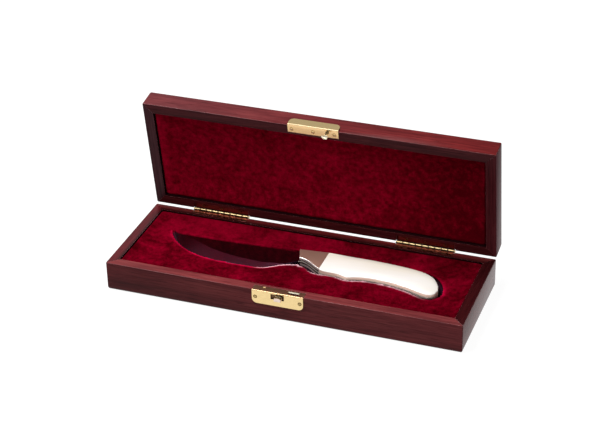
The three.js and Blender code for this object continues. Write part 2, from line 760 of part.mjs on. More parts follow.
// One side of the grip before it is parted into bolster and scale: flat over the bolster, crowned behind it
function gripHalf(side) {
  const start = bolsterStartBackShare - overrun / knifeLength;
  const rings = stations(gripStations, start, 1).map((share) => {
    const [x, back, front] = [knifeX(share), backY(share), frontY(share)];
    const height = Math.max(back - front, edgeThickness);
    const towardsButt = Math.max(share - bolsterEndShare, 0) / (1 - bolsterEndShare);
    const butt = Math.sqrt(Math.max(1 - towardsButt ** buttFullness, 0));
    const swell = THREE.MathUtils.smoothstep(x, knifeX(bolsterEndShare), knifeX(bolsterEndShare) + gripSwell);
    const full = THREE.MathUtils.lerp(bolsterHalfThickness, gripHalfThickness, swell);
    const crown = full * Math.max(butt, buttThicknessShare);
    const low = bladeThickness / 2 + gripSeam;
    return scaleFaceShares.map(([across, scaleRise], i) => {
      const rise = THREE.MathUtils.lerp(bolsterFaceShares[i][1], scaleRise, swell);
      const z = bladeMiddleZ + side * (low + (crown - low) * rise);
      return new THREE.Vector3(x, front + height * across, z);
    });
  });
  return loft(rings);
}

function bolsterFace(side) {
  const [back, front] = [backY(bolsterStartBackShare), frontY(bolsterStartFrontShare)];
  const region = new THREE.Shape();
  region.moveTo(knifeX(bolsterStartFrontShare), front);
  region.lineTo(knifeX(bolsterStartFrontShare), front - knifeDepth);
  region.lineTo(knifeX(bolsterEndShare) - gripSeam, front - knifeDepth);
  region.lineTo(knifeX(bolsterEndShare) - gripSeam, back + knifeDepth);
  region.lineTo(knifeX(bolsterStartBackShare), back + knifeDepth);
  region.lineTo(knifeX(bolsterStartBackShare), back);
  region.closePath();
  return gripHalf(side).intersect(standing(region, -overrun, bladeMiddleZ + gripHalfThickness + overrun));
}

function gripScale(side) {
  const left = knifeX(bolsterEndShare) + gripSeam;
  const region = block(
    [left, knifeMiddleY - knifeDepth, -overrun],
    [knifeX(1) + overrun, knifeMiddleY + knifeDepth, bladeMiddleZ + gripHalfThickness + overrun],
  );
  return gripHalf(side).intersect(region);
}

// Velvet-covered bed with the knife's recess, deeper under the grip
function velvetBed() {
  const inset = wallThickness + liningPlay;
  const [halfX, halfY] = [halfLength - inset, halfDepth - inset];
  const rings = [roundedRing(halfX, halfY, cornerRound, bedBottom)];
  for (let step = 0; step <= rimSteps; step++) {
    const angle = step / rimSteps * Math.PI / 2;
    const back = bedRound * (1 - Math.cos(angle));
    const z = bedTop - bedRound * (1 - Math.sin(angle));
    rings.push(roundedRing(halfX - back, halfY - back, cornerRound, z));
  }
  const outline = new THREE.Shape(recessOutline());
  const bladeFloor = bladeMiddleZ - bladeThickness / 2 - seam;
  const gripFloor = bladeMiddleZ - gripHalfThickness - seam;
  const gripStart = knifeX(bolsterStartBackShare) - deepRecessLead;
  const gripRegion = block([gripStart, -halfDepth, gripFloor], [halfLength, halfDepth, bedTop + overrun]);
  const bladeRecess = standing(outline, bladeFloor, bedTop + overrun);
  const gripRecess = standing(outline, gripFloor, bedTop + overrun).intersect(gripRegion);
  return loft(rings).subtract(bladeRecess).subtract(gripRecess);
}

// Padded lining of the lid, lying in the lid like the bed in the base
function velvetPad() {
  const inset = wallThickness + liningPlay;
  const [halfX, halfY] = [halfLength - inset, halfDepth - inset];
  const bottom = panelThickness + seam + lidBoardThickness + seam;
  const top = lidHeight - padDrop;
  const rings = [
    roundedRing(halfX - padDrawIn, halfY - padDrawIn, cornerRound, bottom),
    roundedRing(halfX, halfY, cornerRound, (bottom + top) / 2),
  ];
  for (let step = 0; step <= rimSteps; step++) {
    const angle = step / rimSteps * Math.PI / 2;
    const back = padRound * (1 - Math.cos(angle));
    const z = top - padCrown - padRound * (1 - Math.sin(angle));
    rings.push(roundedRing(halfX - back, halfY - back, cornerRound, z));
  }
  const crownStart = wallThickness;
  const crownEnd = 3 * wallThickness;
  rings.push(roundedRing(halfX - crownStart, halfY - crownStart, cornerRound, top - padCrown / 3));
  rings.push(roundedRing(halfX - crownEnd, halfY - crownEnd, cornerRound, top));
  return loft(rings);
}

// Assembly

const knifeCase = new THREE.Group();

function addScrews(group, name, places, turn) {
  places.forEach((place, i) => {
    let body = screwForm(0);
    if (turn) body = body.rotate(turn);
    group.add(piece(`${name}_${i + 1}`, body.translate(place), brass));
  });
}

function hingePlaces() {
  return { left: -hingeOffset, right: hingeOffset };
}

function addBase() {
  const hinges = Object.values(hingePlaces()).map((x) => hingePocket().translate([x, axisY, axisZ]));
  const catchSpace = catchPocket().translate([fittingOffset, -halfDepth, baseHeight]);
  const cuts = { front: [catchSpace], back: hinges };
  for (const [side, wall] of Object.entries(mitredWalls(baseHeight, cuts))) {
    knifeCase.add(piece(`base_${side}_wall`, wall, lacqueredWood));
  }
  knifeCase.add(piece('base_bottom_panel', framePanel(), lacqueredWood));
  knifeCase.add(piece('base_tray_board', liningBoard(trayBoardBottom, trayBoardThickness), plainBoard));
  knifeCase.add(piece('base_velvet_bed', velvetBed(), trayVelvet));
}

function addCatch() {
  const group = new THREE.Group();
  group.position.set(fittingOffset, -halfDepth, baseHeight);
  group.add(piece('catch_plate', catchPlate(), brass));
  group.add(piece('catch_thumb_slide', thumbSlide(), brass));
  group.add(piece('catch_return_spring', returnSpring(), springSteel));
  addScrews(group, 'catch_face_screw', catchFaceScrews, screwIntoFace);
  addScrews(group, 'catch_rim_screw', [catchRimScrew]);
  knifeCase.add(group);
}

function addHingesOnBase() {
  for (const [side, x] of Object.entries(hingePlaces())) {
    const group = new THREE.Group();
    group.position.set(x, axisY, axisZ);
    group.add(piece(`${side}_hinge_lower_leaf`, hingeLeaf(0), brass));
    group.add(piece(`${side}_hinge_pin`, hingePin(), brass));
    addScrews(group, `${side}_hinge_lower_screw`, leafScrewPlaces);
    knifeCase.add(group);
  }
}

// Everything that swings: the lid lies on its panel in its own frame and is turned over about the hinge axis
function addLid() {
  const swing = new THREE.Group();
  swing.position.set(0, axisY, axisZ);
  swing.rotation.x = -THREE.MathUtils.degToRad(openDegrees);
  knifeCase.add(swing);

  const lid = new THREE.Group();
  lid.rotation.x = Math.PI;
  lid.position.set(0, -axisY, lidHeight + rimGap / 2);
  swing.add(lid);
  const hinges = Object.values(hingePlaces()).map((x) => (
    hingePocket().rotate([0, 0, 180]).translate([x, -axisY, lidHeight + rimGap / 2])
  ));
  const strikeSpace = strikePocket().rotate([0, 0, 180]).translate([fittingOffset, halfDepth, lidHeight]);
  const walls = mitredWalls(lidHeight, { front: hinges, back: [strikeSpace] });
  const sidesTurnedOver = { front: 'back', back: 'front', left: 'left', right: 'right' };
  for (const [side, wall] of Object.entries(walls)) {
    lid.add(piece(`lid_${sidesTurnedOver[side]}_wall`, wall, lacqueredWood));
  }
  lid.add(piece('lid_panel', framePanel(), lacqueredWood));
  lid.add(piece('lid_lining_board', liningBoard(panelThickness + seam, lidBoardThickness), plainBoard));
  lid.add(piece('lid_velvet_pad', velvetPad(), lidVelvet));

  for (const [side, x] of Object.entries(hingePlaces())) {
    const group = new THREE.Group();
    group.position.x = x;
    group.rotation.y = Math.PI;
    group.add(piece(`${side}_hinge_upper_leaf`, hingeLeaf(1), brass));
    addScrews(group, `${side}_hinge_upper_screw`, leafScrewPlaces);
    swing.add(group);
  }

  const strike = new THREE.Group();
  strike.position.set(fittingOffset, -halfDepth - axisY, rimGap / 2);
  strike.rotation.y = Math.PI;
  strike.add(piece('strike_plate', strikePlate(), brass));
  strike.add(piece('strike_hook', strikeHook(), brass));
  addScrews(strike, 'strike_screw', strikeScrews);
  swing.add(strike);
}

function addKnife() {
  knifeCase.add(piece('knife_blade', bladeWithTang(), bladeSteel));
  for (const [face, side] of Object.entries({ upper: 1, lower: -1 })) {
    knifeCase.add(piece(`knife_${face}_bolster`, bolsterFace(side), bolsterSteel));
    knifeCase.add(piece(`knife_${face}_scale`, gripScale(side), ivoryGrip));
  }
}

addBase();
addCatch();
addHingesOnBase();
addLid();
addKnife();

export default knifeCase;
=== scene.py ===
import json
import math
import random

import bmesh
import bpy
import numpy as np
from mathutils import Matrix, Vector, noise
from mathutils.kdtree import KDTree


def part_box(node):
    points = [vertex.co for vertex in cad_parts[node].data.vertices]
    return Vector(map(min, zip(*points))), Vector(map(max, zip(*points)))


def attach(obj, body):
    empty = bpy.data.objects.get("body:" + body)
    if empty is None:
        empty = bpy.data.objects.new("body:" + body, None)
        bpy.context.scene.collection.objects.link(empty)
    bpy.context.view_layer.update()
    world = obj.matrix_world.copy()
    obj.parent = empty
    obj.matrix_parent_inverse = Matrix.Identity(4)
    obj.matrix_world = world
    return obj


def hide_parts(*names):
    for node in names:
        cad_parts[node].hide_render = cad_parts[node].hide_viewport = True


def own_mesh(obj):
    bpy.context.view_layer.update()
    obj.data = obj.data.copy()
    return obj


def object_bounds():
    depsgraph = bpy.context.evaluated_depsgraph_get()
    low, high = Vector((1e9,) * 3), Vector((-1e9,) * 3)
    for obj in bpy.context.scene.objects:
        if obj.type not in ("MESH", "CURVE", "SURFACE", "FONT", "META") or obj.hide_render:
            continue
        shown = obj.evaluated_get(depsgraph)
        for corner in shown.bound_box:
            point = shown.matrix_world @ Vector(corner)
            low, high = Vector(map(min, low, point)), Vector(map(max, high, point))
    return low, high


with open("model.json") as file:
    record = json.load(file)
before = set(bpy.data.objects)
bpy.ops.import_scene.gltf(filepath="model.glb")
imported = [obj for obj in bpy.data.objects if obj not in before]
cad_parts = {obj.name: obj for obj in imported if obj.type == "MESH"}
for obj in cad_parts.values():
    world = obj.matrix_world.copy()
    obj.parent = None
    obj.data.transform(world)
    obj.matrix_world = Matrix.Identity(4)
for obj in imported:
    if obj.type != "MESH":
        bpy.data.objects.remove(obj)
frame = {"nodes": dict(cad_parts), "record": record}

# Knife display case: lacquered mahogany, crimson velvet, sheet brass and a knife with an ivory-coloured grip

cad_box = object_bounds()
record = frame["record"]
body_of = {node: body for body, nodes in record["behaviour"]["bodies"].items() for node in nodes}
hinge = next(joint for joint in record["behaviour"]["joints"] if joint["name"] == "lid_hinge")
lid_axis = Vector(hinge["pos_m"])
open_angle = math.radians(-hinge["range_deg"][0])

MM = 0.001
WELD = 0.002 * MM
X, Y, Z = (1, 0, 0), (0, 1, 0), (0, 0, 1)
LEFT, DOWN = (-1, 0, 0), (0, 0, -1)
HALF_CASE = cad_box[1][0]


def held(amount, least=0, most=1):
    """An amount kept between two limits."""
    return min(max(amount, least), most)


def box_middle(node):
    """Middle of a node's box in the solids."""
    low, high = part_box(node)
    return (low + high) / 2


def placed(name, data):
    """A new object in the scene."""
    thing = bpy.data.objects.new(name, data)
    bpy.context.scene.collection.objects.link(thing)
    return thing


# Camera at the photograph's angle, its focal length in pixels of that frame

PHOTO_WIDTH = 612
FOCAL_PIXELS = 1730.48
SENSOR = 36
AZIMUTH = math.radians(20.042)
ELEVATION = math.radians(29.673)
ROLL = math.radians(-1.030)
CAMERA_DISTANCE = 1517.46 * MM
CAMERA_TARGET = Vector((6.03 * MM, 0, 80.57 * MM))
VIEW_REACH = 20


def make_camera():
    across = Vector((math.cos(AZIMUTH), math.sin(AZIMUTH), 0))
    level = Vector((math.sin(AZIMUTH), -math.cos(AZIMUTH), 0)) * math.cos(ELEVATION)
    back = level + Vector((0, 0, math.sin(ELEVATION)))
    upright = back.cross(across)
    right = across * math.cos(ROLL) + upright * math.sin(ROLL)
    up = upright * math.cos(ROLL) - across * math.sin(ROLL)
    camera = placed("photo_camera", bpy.data.cameras.new("photo_camera"))
    camera.data.sensor_width = SENSOR
    camera.data.lens = FOCAL_PIXELS / PHOTO_WIDTH * SENSOR
    camera.data.clip_end = VIEW_REACH
    turn = Matrix((right, up, back)).transposed().to_4x4()
    camera.matrix_world = Matrix.Translation(CAMERA_TARGET + back * CAMERA_DISTANCE) @ turn
    bpy.context.scene.camera = camera


# Shader maths

class Amount:
    """One value in a finish; sums and products on it add Math nodes."""

    def __init__(self, finish, socket):
        self.finish = finish
        self.socket = socket

    def __add__(self, other):
        return self.finish.math("ADD", self, other)

    def __sub__(self, other):
        return self.finish.math("SUBTRACT", self, other)

    def __rsub__(self, other):
        return self.finish.math("SUBTRACT", other, self)

    def __mul__(self, other):
        return self.finish.math("MULTIPLY", self, other)


def shares_of(tone, stops):
    """Stops of a ramp, each with its shares of a tone in place of a colour."""
    return [(level, [share * part for share, part in zip(shares, tone)]) for level, shares in stops]


class Finish:
    """One procedural material, or the world, built node by node."""

    def __init__(self, owner):
        self.owner = owner
        owner.use_nodes = True
        self.tree = owner.node_tree
        self.tree.nodes.clear()

    def add(self, kind, settings=None, values=None, output=0):
        """A node with its settings made first, then the values or links of its sockets."""
        node = self.tree.nodes.new(kind)
        for key, value in (settings or {}).items():
            if key == "stops":
                self._fill(node.color_ramp, value)
            else:
                setattr(node, key, value)
        pairs = values.items() if isinstance(values, dict) else enumerate(values or [])
        for key, value in pairs:
            if isinstance(value, Amount):
                self.tree.links.new(value.socket, node.inputs[key])
            elif value is not None:
                node.inputs[key].default_value = value
        return Amount(self, node.outputs[output]) if len(node.outputs) else None

    def _fill(self, ramp, stops):
        while len(ramp.elements) > 1:
            ramp.elements.remove(ramp.elements[-1])
        for i, (position, colour) in enumerate(stops):
            element = ramp.elements[0] if i == 0 else ramp.elements.new(position)
            element.position = position
            element.color = colour if len(colour) == 4 else (*colour, 1)

    def math(self, operation, *values):
        return self.add("ShaderNodeMath", {"operation": operation}, values)

    def place(self):
        return self.add("ShaderNodeTexCoord", output="Object")

    def part(self, vector, direction):
        """How far a vector reaches along one direction."""
        return self.add("ShaderNodeVectorMath", {"operation": "DOT_PRODUCT"},
                        [vector, tuple(direction)], "Value")

    def reach(self, direction, start, end):
        """0 at one place along a direction and 1 at another."""
        return (self.part(self.place(), direction) - start) * (1 / (end - start))

    def stretched(self, along, lengthways, shift=0):
        """Places squeezed along one direction, so that noise draws out into grain."""
        first = Vector(along).normalized()
        third = first.cross(Vector(Z if abs(first.z) < 0.9 else X)).normalized()
        ways = ((first, lengthways), (third.cross(first), 1), (third, 1))
        return self.add("ShaderNodeCombineXYZ", None, [
            self.part(self.place(), way) * scale + shift for way, scale in ways])

    def cloud(self, vector, scale, detail=2, roughness=0.5, distortion=0):
        return self.add("ShaderNodeTexNoise", None, {
            "Vector": vector, "Scale": scale, "Detail": detail, "Roughness": roughness,
            "Distortion": distortion})

    def ramp(self, amount, stops):
        return self.add("ShaderNodeValToRGB", {"stops": stops}, [amount])

    def rising(self, amount, low, high, most=1):
        """0 up to one level of an amount, and the most from another level on."""
        return self.ramp(amount, [(low, (0, 0, 0)), (high, (most, most, most))])

    def mixed(self, share, first, second, blend="MIX"):
        return self.add("ShaderNodeMix", {"data_type": "RGBA", "blend_type": blend},
                        {0: share, 6: first, 7: second}, 2)

    def faded(self, direction, start, end, first, second):
        """Colour that goes from the first to the second between two places along a direction."""
        return self.ramp(self.reach(direction, start, end), [(0, first), (1, second)])

    def toned(self, base, fade):
        """A colour under a fade, where there is one."""
        return self.mixed(1.0, base, self.faded(*fade), "MULTIPLY") if fade else base

    def bump(self, height, strength, distance, before=None):
        return self.add("ShaderNodeBump", None, {
            "Height": height, "Strength": strength, "Distance": distance, "Normal": before})

    def skin(self, **values):
        named = {name.replace("_", " "): value for name, value in values.items()}
        shader = self.add("ShaderNodeBsdfPrincipled", None, named)
        self.add("ShaderNodeOutputMaterial", None, [shader])
        return self.owner


def material(name):
    return Finish(bpy.data.materials.new(name))


def colour(red, green, blue):
    return (red, green, blue, 1)


# Finishes, their noise in waves to the metre

FIGURE_WAVES, GRAIN_WAVES, PORE_WAVES, LACQUER_WAVES = 70, 620, 1500, 38
PATCH_WAVES, NAP_WAVES, PILE_WAVES = 34, 210, 1150
TARNISH_WAVES, ROLLING_WAVES = 260, 2600
HAZE_WAVES, SCRATCH_WAVES = 55, 2200
BAND_WAVES, WARM_WAVES = 190, 26
PLY_WAVES = 500
RED_BOUNCE_FROM, RED_BOUNCE_TO = 2 * MM, 18 * MM
TRAY_LAYERS = ("cut_edge", "bare_edge", "well")
WOOD_STOPS = [(0.30, (0.45, 0.42, 0.44)), (0.46, (0.84, 0.80, 0.82)),
              (0.60, (1.22, 1.26, 1.22)), (0.74, (1.60, 1.85, 1.60))]
NAP_STOPS = [(0.34, (0.36, 0.0004, 0.016)), (0.46, (0.74, 0.0012, 0.036)),
             (0.54, (1.12, 0.0020, 0.060)), (0.68, (1.80, 0.0050, 0.105))]
KNUCKLES = 9
JOINT_TARNISH = (0.05, 0.022, 0.012)
first_joint, last_joint = (corner.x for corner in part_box("right_hinge_lower_leaf"))
knuckle_pitch = (last_joint - first_joint) / KNUCKLES


def mahogany(name, along, shift, tone, gloss, fade=None):
    """Dark red-brown mahogany under satin lacquer, its grain along one direction."""
    f = material(name)
    figure = f.cloud(f.stretched(along, 0.16, shift), FIGURE_WAVES, 3, 0.55, 0.6)
    grain = f.cloud(f.stretched(along, 0.03, shift), GRAIN_WAVES, 3, 0.65)
    pores = f.cloud(f.stretched(along, 0.045, shift + 3), PORE_WAVES, 1, 0.4)
    red, green, blue = tone
    wood = f.ramp(figure * 0.45 + grain * 0.55, shares_of(tone, WOOD_STOPS))
    pore = f.rising(pores, 0.60, 0.70)
    base = f.mixed(pore * 0.55, wood, colour(0.20 * red, 0.17 * green, 0.20 * blue))
    lacquer = f.bump(grain * 0.6 - pore * 0.5, 0.12, 0.08 * MM)
    wobble = f.bump(f.cloud(f.place(), LACQUER_WAVES, 2), 0.10, 0.5 * MM, lacquer)
    return f.skin(Base_Color=f.toned(base, fade), Roughness=figure * 0.10 + 0.22, Normal=wobble,
                  Specular_IOR_Level=gloss)


def velvet(name, shift, bright, patchy, contrast, sheen, light_gradients, well):
    """Crimson velvet: nap lighter and darker in patches where it lies differently, over a fine upright pile.

    light_gradients lists (direction, start, end, change) for painted light and shade that grows lighter or
    darker that way.
    The tray's velvet ends at a cut edge with a painted glow and a painted highlight line, round a well with a
    dark lining and painted shade."""
    f = material(name)
    place = f.add("ShaderNodeVectorMath", {"operation": "ADD"}, [f.place(), [shift] * 3])
    patches = f.cloud(place, PATCH_WAVES, 3, 0.55, 0.8)
    nap = f.cloud(place, NAP_WAVES, 4, 0.62)
    pile = f.cloud(place, PILE_WAVES, 2, 0.6)
    level = (patches * patchy + nap * (0.75 - patchy) + pile * 0.25) * contrast + 0.5 * (1 - contrast)
    # Painted light and shade across the lining
    for direction, start, end, change in light_gradients:
        level = level + f.add("ShaderNodeClamp", None, [f.reach(direction, start, end)]) * change
    tone = f.ramp(level, shares_of([bright] * 3, NAP_STOPS))
    if well:
        near, highlight_line, depth = (f.add("ShaderNodeAttribute", {"attribute_name": layer}, output="Fac")
                             for layer in TRAY_LAYERS)
        # Painted glow along the cut edge
        tone = f.mixed(near * nap * 1.5, tone, colour(0.80, 0.004, 0.062))
        # Painted highlight line in front of the grip
        tone = f.mixed(highlight_line * (nap * 0.6 + 0.7), tone, colour(0.95, 0.56, 0.63))
        # Deep in the recess: a dark lining, with painted shade that deepens downwards
        tone = f.mixed(depth, tone, colour(0.026, 0.009, 0.017))
    soft = f.bump(patches, 0.35, 1.2 * MM)
    napped = f.bump(nap, 0.45, 0.5 * MM, soft)
    tufted = f.bump(pile, 0.5, 0.25 * MM, napped)
    return f.skin(Base_Color=tone, Roughness=1.0, Specular_IOR_Level=0.0, Normal=tufted,
                  Sheen_Weight=sheen, Sheen_Roughness=0.4, Sheen_Tint=colour(0.70, 0.004, 0.05))


def sheet_brass(name, tone, rough, along=X, joints=False, fade=None):
    """Rolled brass with fine polishing lines and a little tarnish, darkest where hinge knuckles meet."""
    f = material(name)
    tarnish = f.cloud(f.place(), TARNISH_WAVES, 3, 0.6)
    lines = f.cloud(f.stretched(along, 0.02), ROLLING_WAVES, 2, 0.6)
    base = f.mixed(f.rising(tarnish, 0.40, 0.75) * 0.30,
                   colour(*tone), colour(*(0.74 * part for part in tone)))
    if joints:
        distance = f.math("ABSOLUTE", f.part(f.place(), X)) - first_joint
        away = f.math("PINGPONG", distance, knuckle_pitch / 2) * (1 / MM)
        base = f.mixed(f.ramp(away, [(0.42, (1, 1, 1)), (0.85, (0, 0, 0))]), base, colour(*JOINT_TARNISH))
    worn = f.bump(lines, 0.05, 0.01 * MM)
    return f.skin(Base_Color=f.toned(base, fade), Metallic=1.0, Roughness=tarnish * 0.08 + rough,
                  Normal=worn)


def steel(name, tone, rough, lines, metal, along=X, fade=None):
    """Steel, from mirror to satin as the polishing lines grow deeper; a little less metal gives it a haze."""
    f = material(name)
    scratches = f.cloud(f.stretched(along, 0.015), SCRATCH_WAVES, 3, 0.65)
    haze = f.cloud(f.place(), HAZE_WAVES, 2)
    base = f.mixed(haze * 0.3, colour(*tone), colour(*(0.86 * part for part in tone)))
    worn = f.bump(scratches, lines, 0.02 * MM)
    return f.skin(Base_Color=f.toned(base, fade), Metallic=metal, Roughness=haze * 0.08 + rough,
                  Normal=worn)


def ivory(name, pale, warm_tone):
    """Polished ivory-coloured scales in faint lengthways bands, with a painted warm reflection towards the
    grip's back.
    """
    f = material(name)
    bands = f.cloud(f.stretched((1, 0.12, 0), 0.08), BAND_WAVES, 3, 0.6, 0.4)
    warm = f.cloud(f.place(), WARM_WAVES, 2)
    base = f.mixed(f.rising(bands * 0.5 + warm * 0.5, 0.38, 0.68), colour(*pale), colour(*warm_tone))
    # Painted warm reflection of the red velvet towards the grip's back
    base = f.toned(base, (Y, RED_BOUNCE_FROM, RED_BOUNCE_TO, (1, 1, 1), (1, 0.955, 0.87)))
    polish = f.bump(bands, 0.05, 0.05 * MM)
    return f.skin(Base_Color=base, Roughness=warm * 0.08 + 0.20, Normal=polish,
                  Coat_Weight=0.35, Coat_Roughness=0.08)


def plain_board(name):
    """Plain ply, which only shows when a lining is off."""
    f = material(name)
    grain = f.cloud(f.stretched(X, 0.04), PLY_WAVES, 3, 0.6)
    tone = f.ramp(grain, [(0.35, (0.34, 0.21, 0.11)), (0.65, (0.55, 0.38, 0.22))])
    return f.skin(Base_Color=tone, Roughness=0.8, Normal=f.bump(grain, 0.3, 0.1 * MM))


lid_depth = Vector((0, -math.cos(open_angle), math.sin(open_angle)))
lid_rim_way = Vector((0, -math.sin(open_angle), -math.cos(open_angle)))
catch_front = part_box("catch_plate")[0].y
catch_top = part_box("catch_plate")[1].z
left_rim_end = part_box("base_left_wall")[1].x
lid_velvet_end = -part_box("lid_velvet_pad")[0].x

# Fades: a direction, two places along it and the shares of the tone that are left at them. The fades below
# paint light, shade and reflections into tones
ENDS = (-0.8 * HALF_CASE, 0.8 * HALF_CASE)
# Front board darker towards its left end: painted shade
FRONT_PAINTED_SHADE = (X, *ENDS, (0.62, 0.62, 0.62), (1, 1, 1))
# Lid's long boards greyer at the left and redder at the right: a painted reflection of white
LID_PAINTED_REFLECTION = (X, *ENDS, (0.90, 1, 1.05), (1.05, 0.5, 0.5))
# Back rim darker on its inner half and lighter on its outer half: painted shade and light
BACK_RIM_PAINTED_LIGHT = (Y, 49 * MM, 54 * MM, (0.35, 0.4, 0.4), (1.5, 1.4, 1.4))
# Left rim darker towards its inner edge: painted shade
LEFT_RIM_PAINTED_SHADE = (X, left_rim_end - 4.5 * MM, left_rim_end, (1, 1, 1), (0.2, 0.2, 0.2))
# Knob's top dark towards its front and bright near the plate: painted shade
KNOB_PAINTED_SHADE = (Y, catch_front - 2.4 * MM, catch_front - 0.6 * MM, (0.10, 0.08, 0.05), (1, 1, 1))
# Ground bevel darker towards the point: its painted reflection fading
BEVEL_PAINTED_REFLECTION_FADE = (X, -112 * MM, -84 * MM, (0.4, 0.3, 0.3), (1, 1, 1))

# Direction of the grain, shift, tone, gloss, fade
WOODS = {
    "mahogany_lengthways": (X, 0, (0.200, 0.038, 0.042), 0.07, FRONT_PAINTED_SHADE),
    "mahogany_crossways": (Y, 1.7, (0.200, 0.016, 0.020), 0.18),
    "mahogany_lid_lengthways": (X, 4.1, (0.148, 0.027, 0.029), 0.06, LID_PAINTED_REFLECTION),
    "mahogany_lid_crossways": (lid_depth, 5.3, (0.170, 0.036, 0.048), 0.02),
    # Rim tones paint the light and shade on each rim: the right rim and the lid's rims are darkest where they
    # lie in shade
    "mahogany_front_rim": (X, 2.2, (0.215, 0.040, 0.042), 0.07),
    "mahogany_back_rim": (X, 6.1, (0.115, 0.013, 0.014), 0.07, BACK_RIM_PAINTED_LIGHT),
    "mahogany_left_rim": (Y, 7.4, (0.105, 0.010, 0.014), 0.16, LEFT_RIM_PAINTED_SHADE),
    "mahogany_right_rim": (Y, 8.8, (0.038, 0.0045, 0.0055), 0.16),
    "mahogany_lid_front_rim": (X, 9.3, (0.080, 0.016, 0.019), 0.05),
    "mahogany_lid_back_rim": (X, 10.9, (0.095, 0.013, 0.016), 0.03),
    "mahogany_lid_left_rim": (lid_depth, 11.6, (0.070, 0.021, 0.027), 0.05),
    "mahogany_lid_right_rim": (lid_depth, 12.2, (0.110, 0.019, 0.024), 0.05),
    # Inner faces: near black, painted shade
    "mahogany_inside": (X, 13.4, (0.016, 0.003, 0.004), 0.01),
    # Eased edges: a light tone that paints the highlight along the arrises
    "mahogany_worn_edge": (X, 14.1, (0.50, 0.25, 0.26), 0.2),
}

# Shift, brightness, share of the patches, contrast, sheen, gradients of painted light and shade, a well or
# not
VELVETS = {
    # Tray: lighter towards the back, darker to the right and at the left end: painted light and shade
    "tray_velvet": (0, 0.130, 0.42, 1.45, 0.1, [
        (Y, -50 * MM, 40 * MM, 0.085), (X, -100 * MM, 0, -0.05), (LEFT, 125 * MM, 145 * MM, -0.06)], True),
    # Lid: painted twice as bright as the tray's velvet for the little light it gets; darker to the right and
    # lower down and lighter at the left end: painted light and shade
    "lid_velvet": (2.3, 0.270, 0.20, 1, 0.4, [
        (X, 40 * MM, 130 * MM, -0.13), (DOWN, -70 * MM, -42 * MM, -0.04),
        (LEFT, lid_velvet_end - 9 * MM, lid_velvet_end - 1 * MM, 0.16)], False),
}

# Tone, roughness, direction of the polishing lines, dark joints or not, fade
BRASSES = {
    "sheet_brass": ((0.78, 0.585, 0.29), 0.16),
    # Lower hinge leaves and their screws: red-brown, a painted reflection of the red velvet
    "browned_leaf_brass": ((0.46, 0.115, 0.105), 0.24),
    # Upper hinge leaves and their screws: near black, painted shade
    "darkened_leaf_brass": ((0.075, 0.020, 0.018), 0.24),
    "knuckle_brass": ((0.28, 0.215, 0.11), 0.22, X, True),
    # Catch flange top: satin, darkened to paint the dark reflection it shows
    "satin_brass": ((0.27, 0.14, 0.085), 0.34),
    "edge_brass": ((0.67, 0.46, 0.25), 0.42),
    "seam_brass": ((0.52, 0.30, 0.09), 0.4),
    "dark_seam": ((0.13, 0.07, 0.022), 0.4),
    "strike_fold": ((0.52, 0.40, 0.24), 0.45),
    "strike_brass": ((0.87, 0.60, 0.30), 0.20),
    "hook_brass": ((0.95, 0.86, 0.64), 0.12, Z),
    # Thumb knob: pale, less yellow brass that paints the pale reflection on its face
    "knob_brass": ((0.76, 0.61, 0.53), 0.28, Z),
    # Knob's top: painted shade
    "knob_top": ((0.80, 0.66, 0.44), 0.36, Y, False, KNOB_PAINTED_SHADE),
    "shaded_brass": ((0.16, 0.09, 0.045), 0.45),
    "dull_screw_head": ((0.42, 0.31, 0.14), 0.30),
    "screw_brass": ((0.80, 0.62, 0.34), 0.20, Y),
}

# Tone, roughness, depth of the polishing lines, share of metal, direction of the lines, fade
STEELS = {
    "rim_screw_head": ((0.74, 0.50, 0.27), 0.45, 0.3, 0.2),
    # Slot's far wall: near white and not metal, a painted highlight
    "filed_brass": ((1.0, 0.92, 0.70), 0.5, 0.6, 0.0),
    "spring_wire": ((0.62, 0.63, 0.65), 0.22, 0.1, 1.0),
    # Blade flats: a dark tone that paints the dark reflection they show
    "blade_mirror": ((0.18, 0.165, 0.21), 0.04, 0.04, 0.995),
    # Ground bevels: a lilac tone that paints their reflection
    "blade_bevel": ((0.52, 0.34, 0.58), 0.13, 0.4, 0.992, Y, BEVEL_PAINTED_REFLECTION_FADE),
    "tang_steel": ((0.90, 0.78, 0.68), 0.45, 0.4, 0.6),
    # Bolster tops: red-brown steel that paints the red velvet's reflection
    "bolster_satin": ((0.60, 0.38, 0.29), 0.42, 0.6, 0.95, Y),
    # Bolster lips: near white, a painted highlight
    "bolster_lip": ((1.0, 0.94, 0.90), 0.40, 0.3, 1.0),
    "bolster_side": ((0.70, 0.55, 0.51), 0.45, 0.4, 0.5),
    # Bolster wall feet: near black, painted shade
    "bolster_foot": ((0.045, 0.012, 0.018), 0.45, 0.4, 0.5),
}

# Pale and warm tone
IVORIES = {
    "ivory_grip": ((1.0, 0.975, 0.94), (0.98, 0.94, 0.87)),
    # Scale walls: darker, pinker ivory, painted shade with a red bounce
    "ivory_side": ((0.93, 0.68, 0.57), (0.91, 0.62, 0.50)),
}

finishes = {"plain_board": plain_board("plain_board")}
for make, table in ((mahogany, WOODS), (velvet, VELVETS), (sheet_brass, BRASSES), (steel, STEELS),
                    (ivory, IVORIES)):
    for finish_name, values in table.items():
        finishes[finish_name] = make(finish_name, *values)


# Pieces

FLAT_ANGLE = 0.3
EDGE_ANGLE = 30
EDGE_STEPS = 2


def new_piece(name, mesh, finish, node):
    """A piece that rides on the body of the node that it stands for, with its material slot."""
    piece = placed(name, mesh)
    mesh.materials.append(finishes[finish])
    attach(piece, body_of[node])
    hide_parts(node)
    return piece


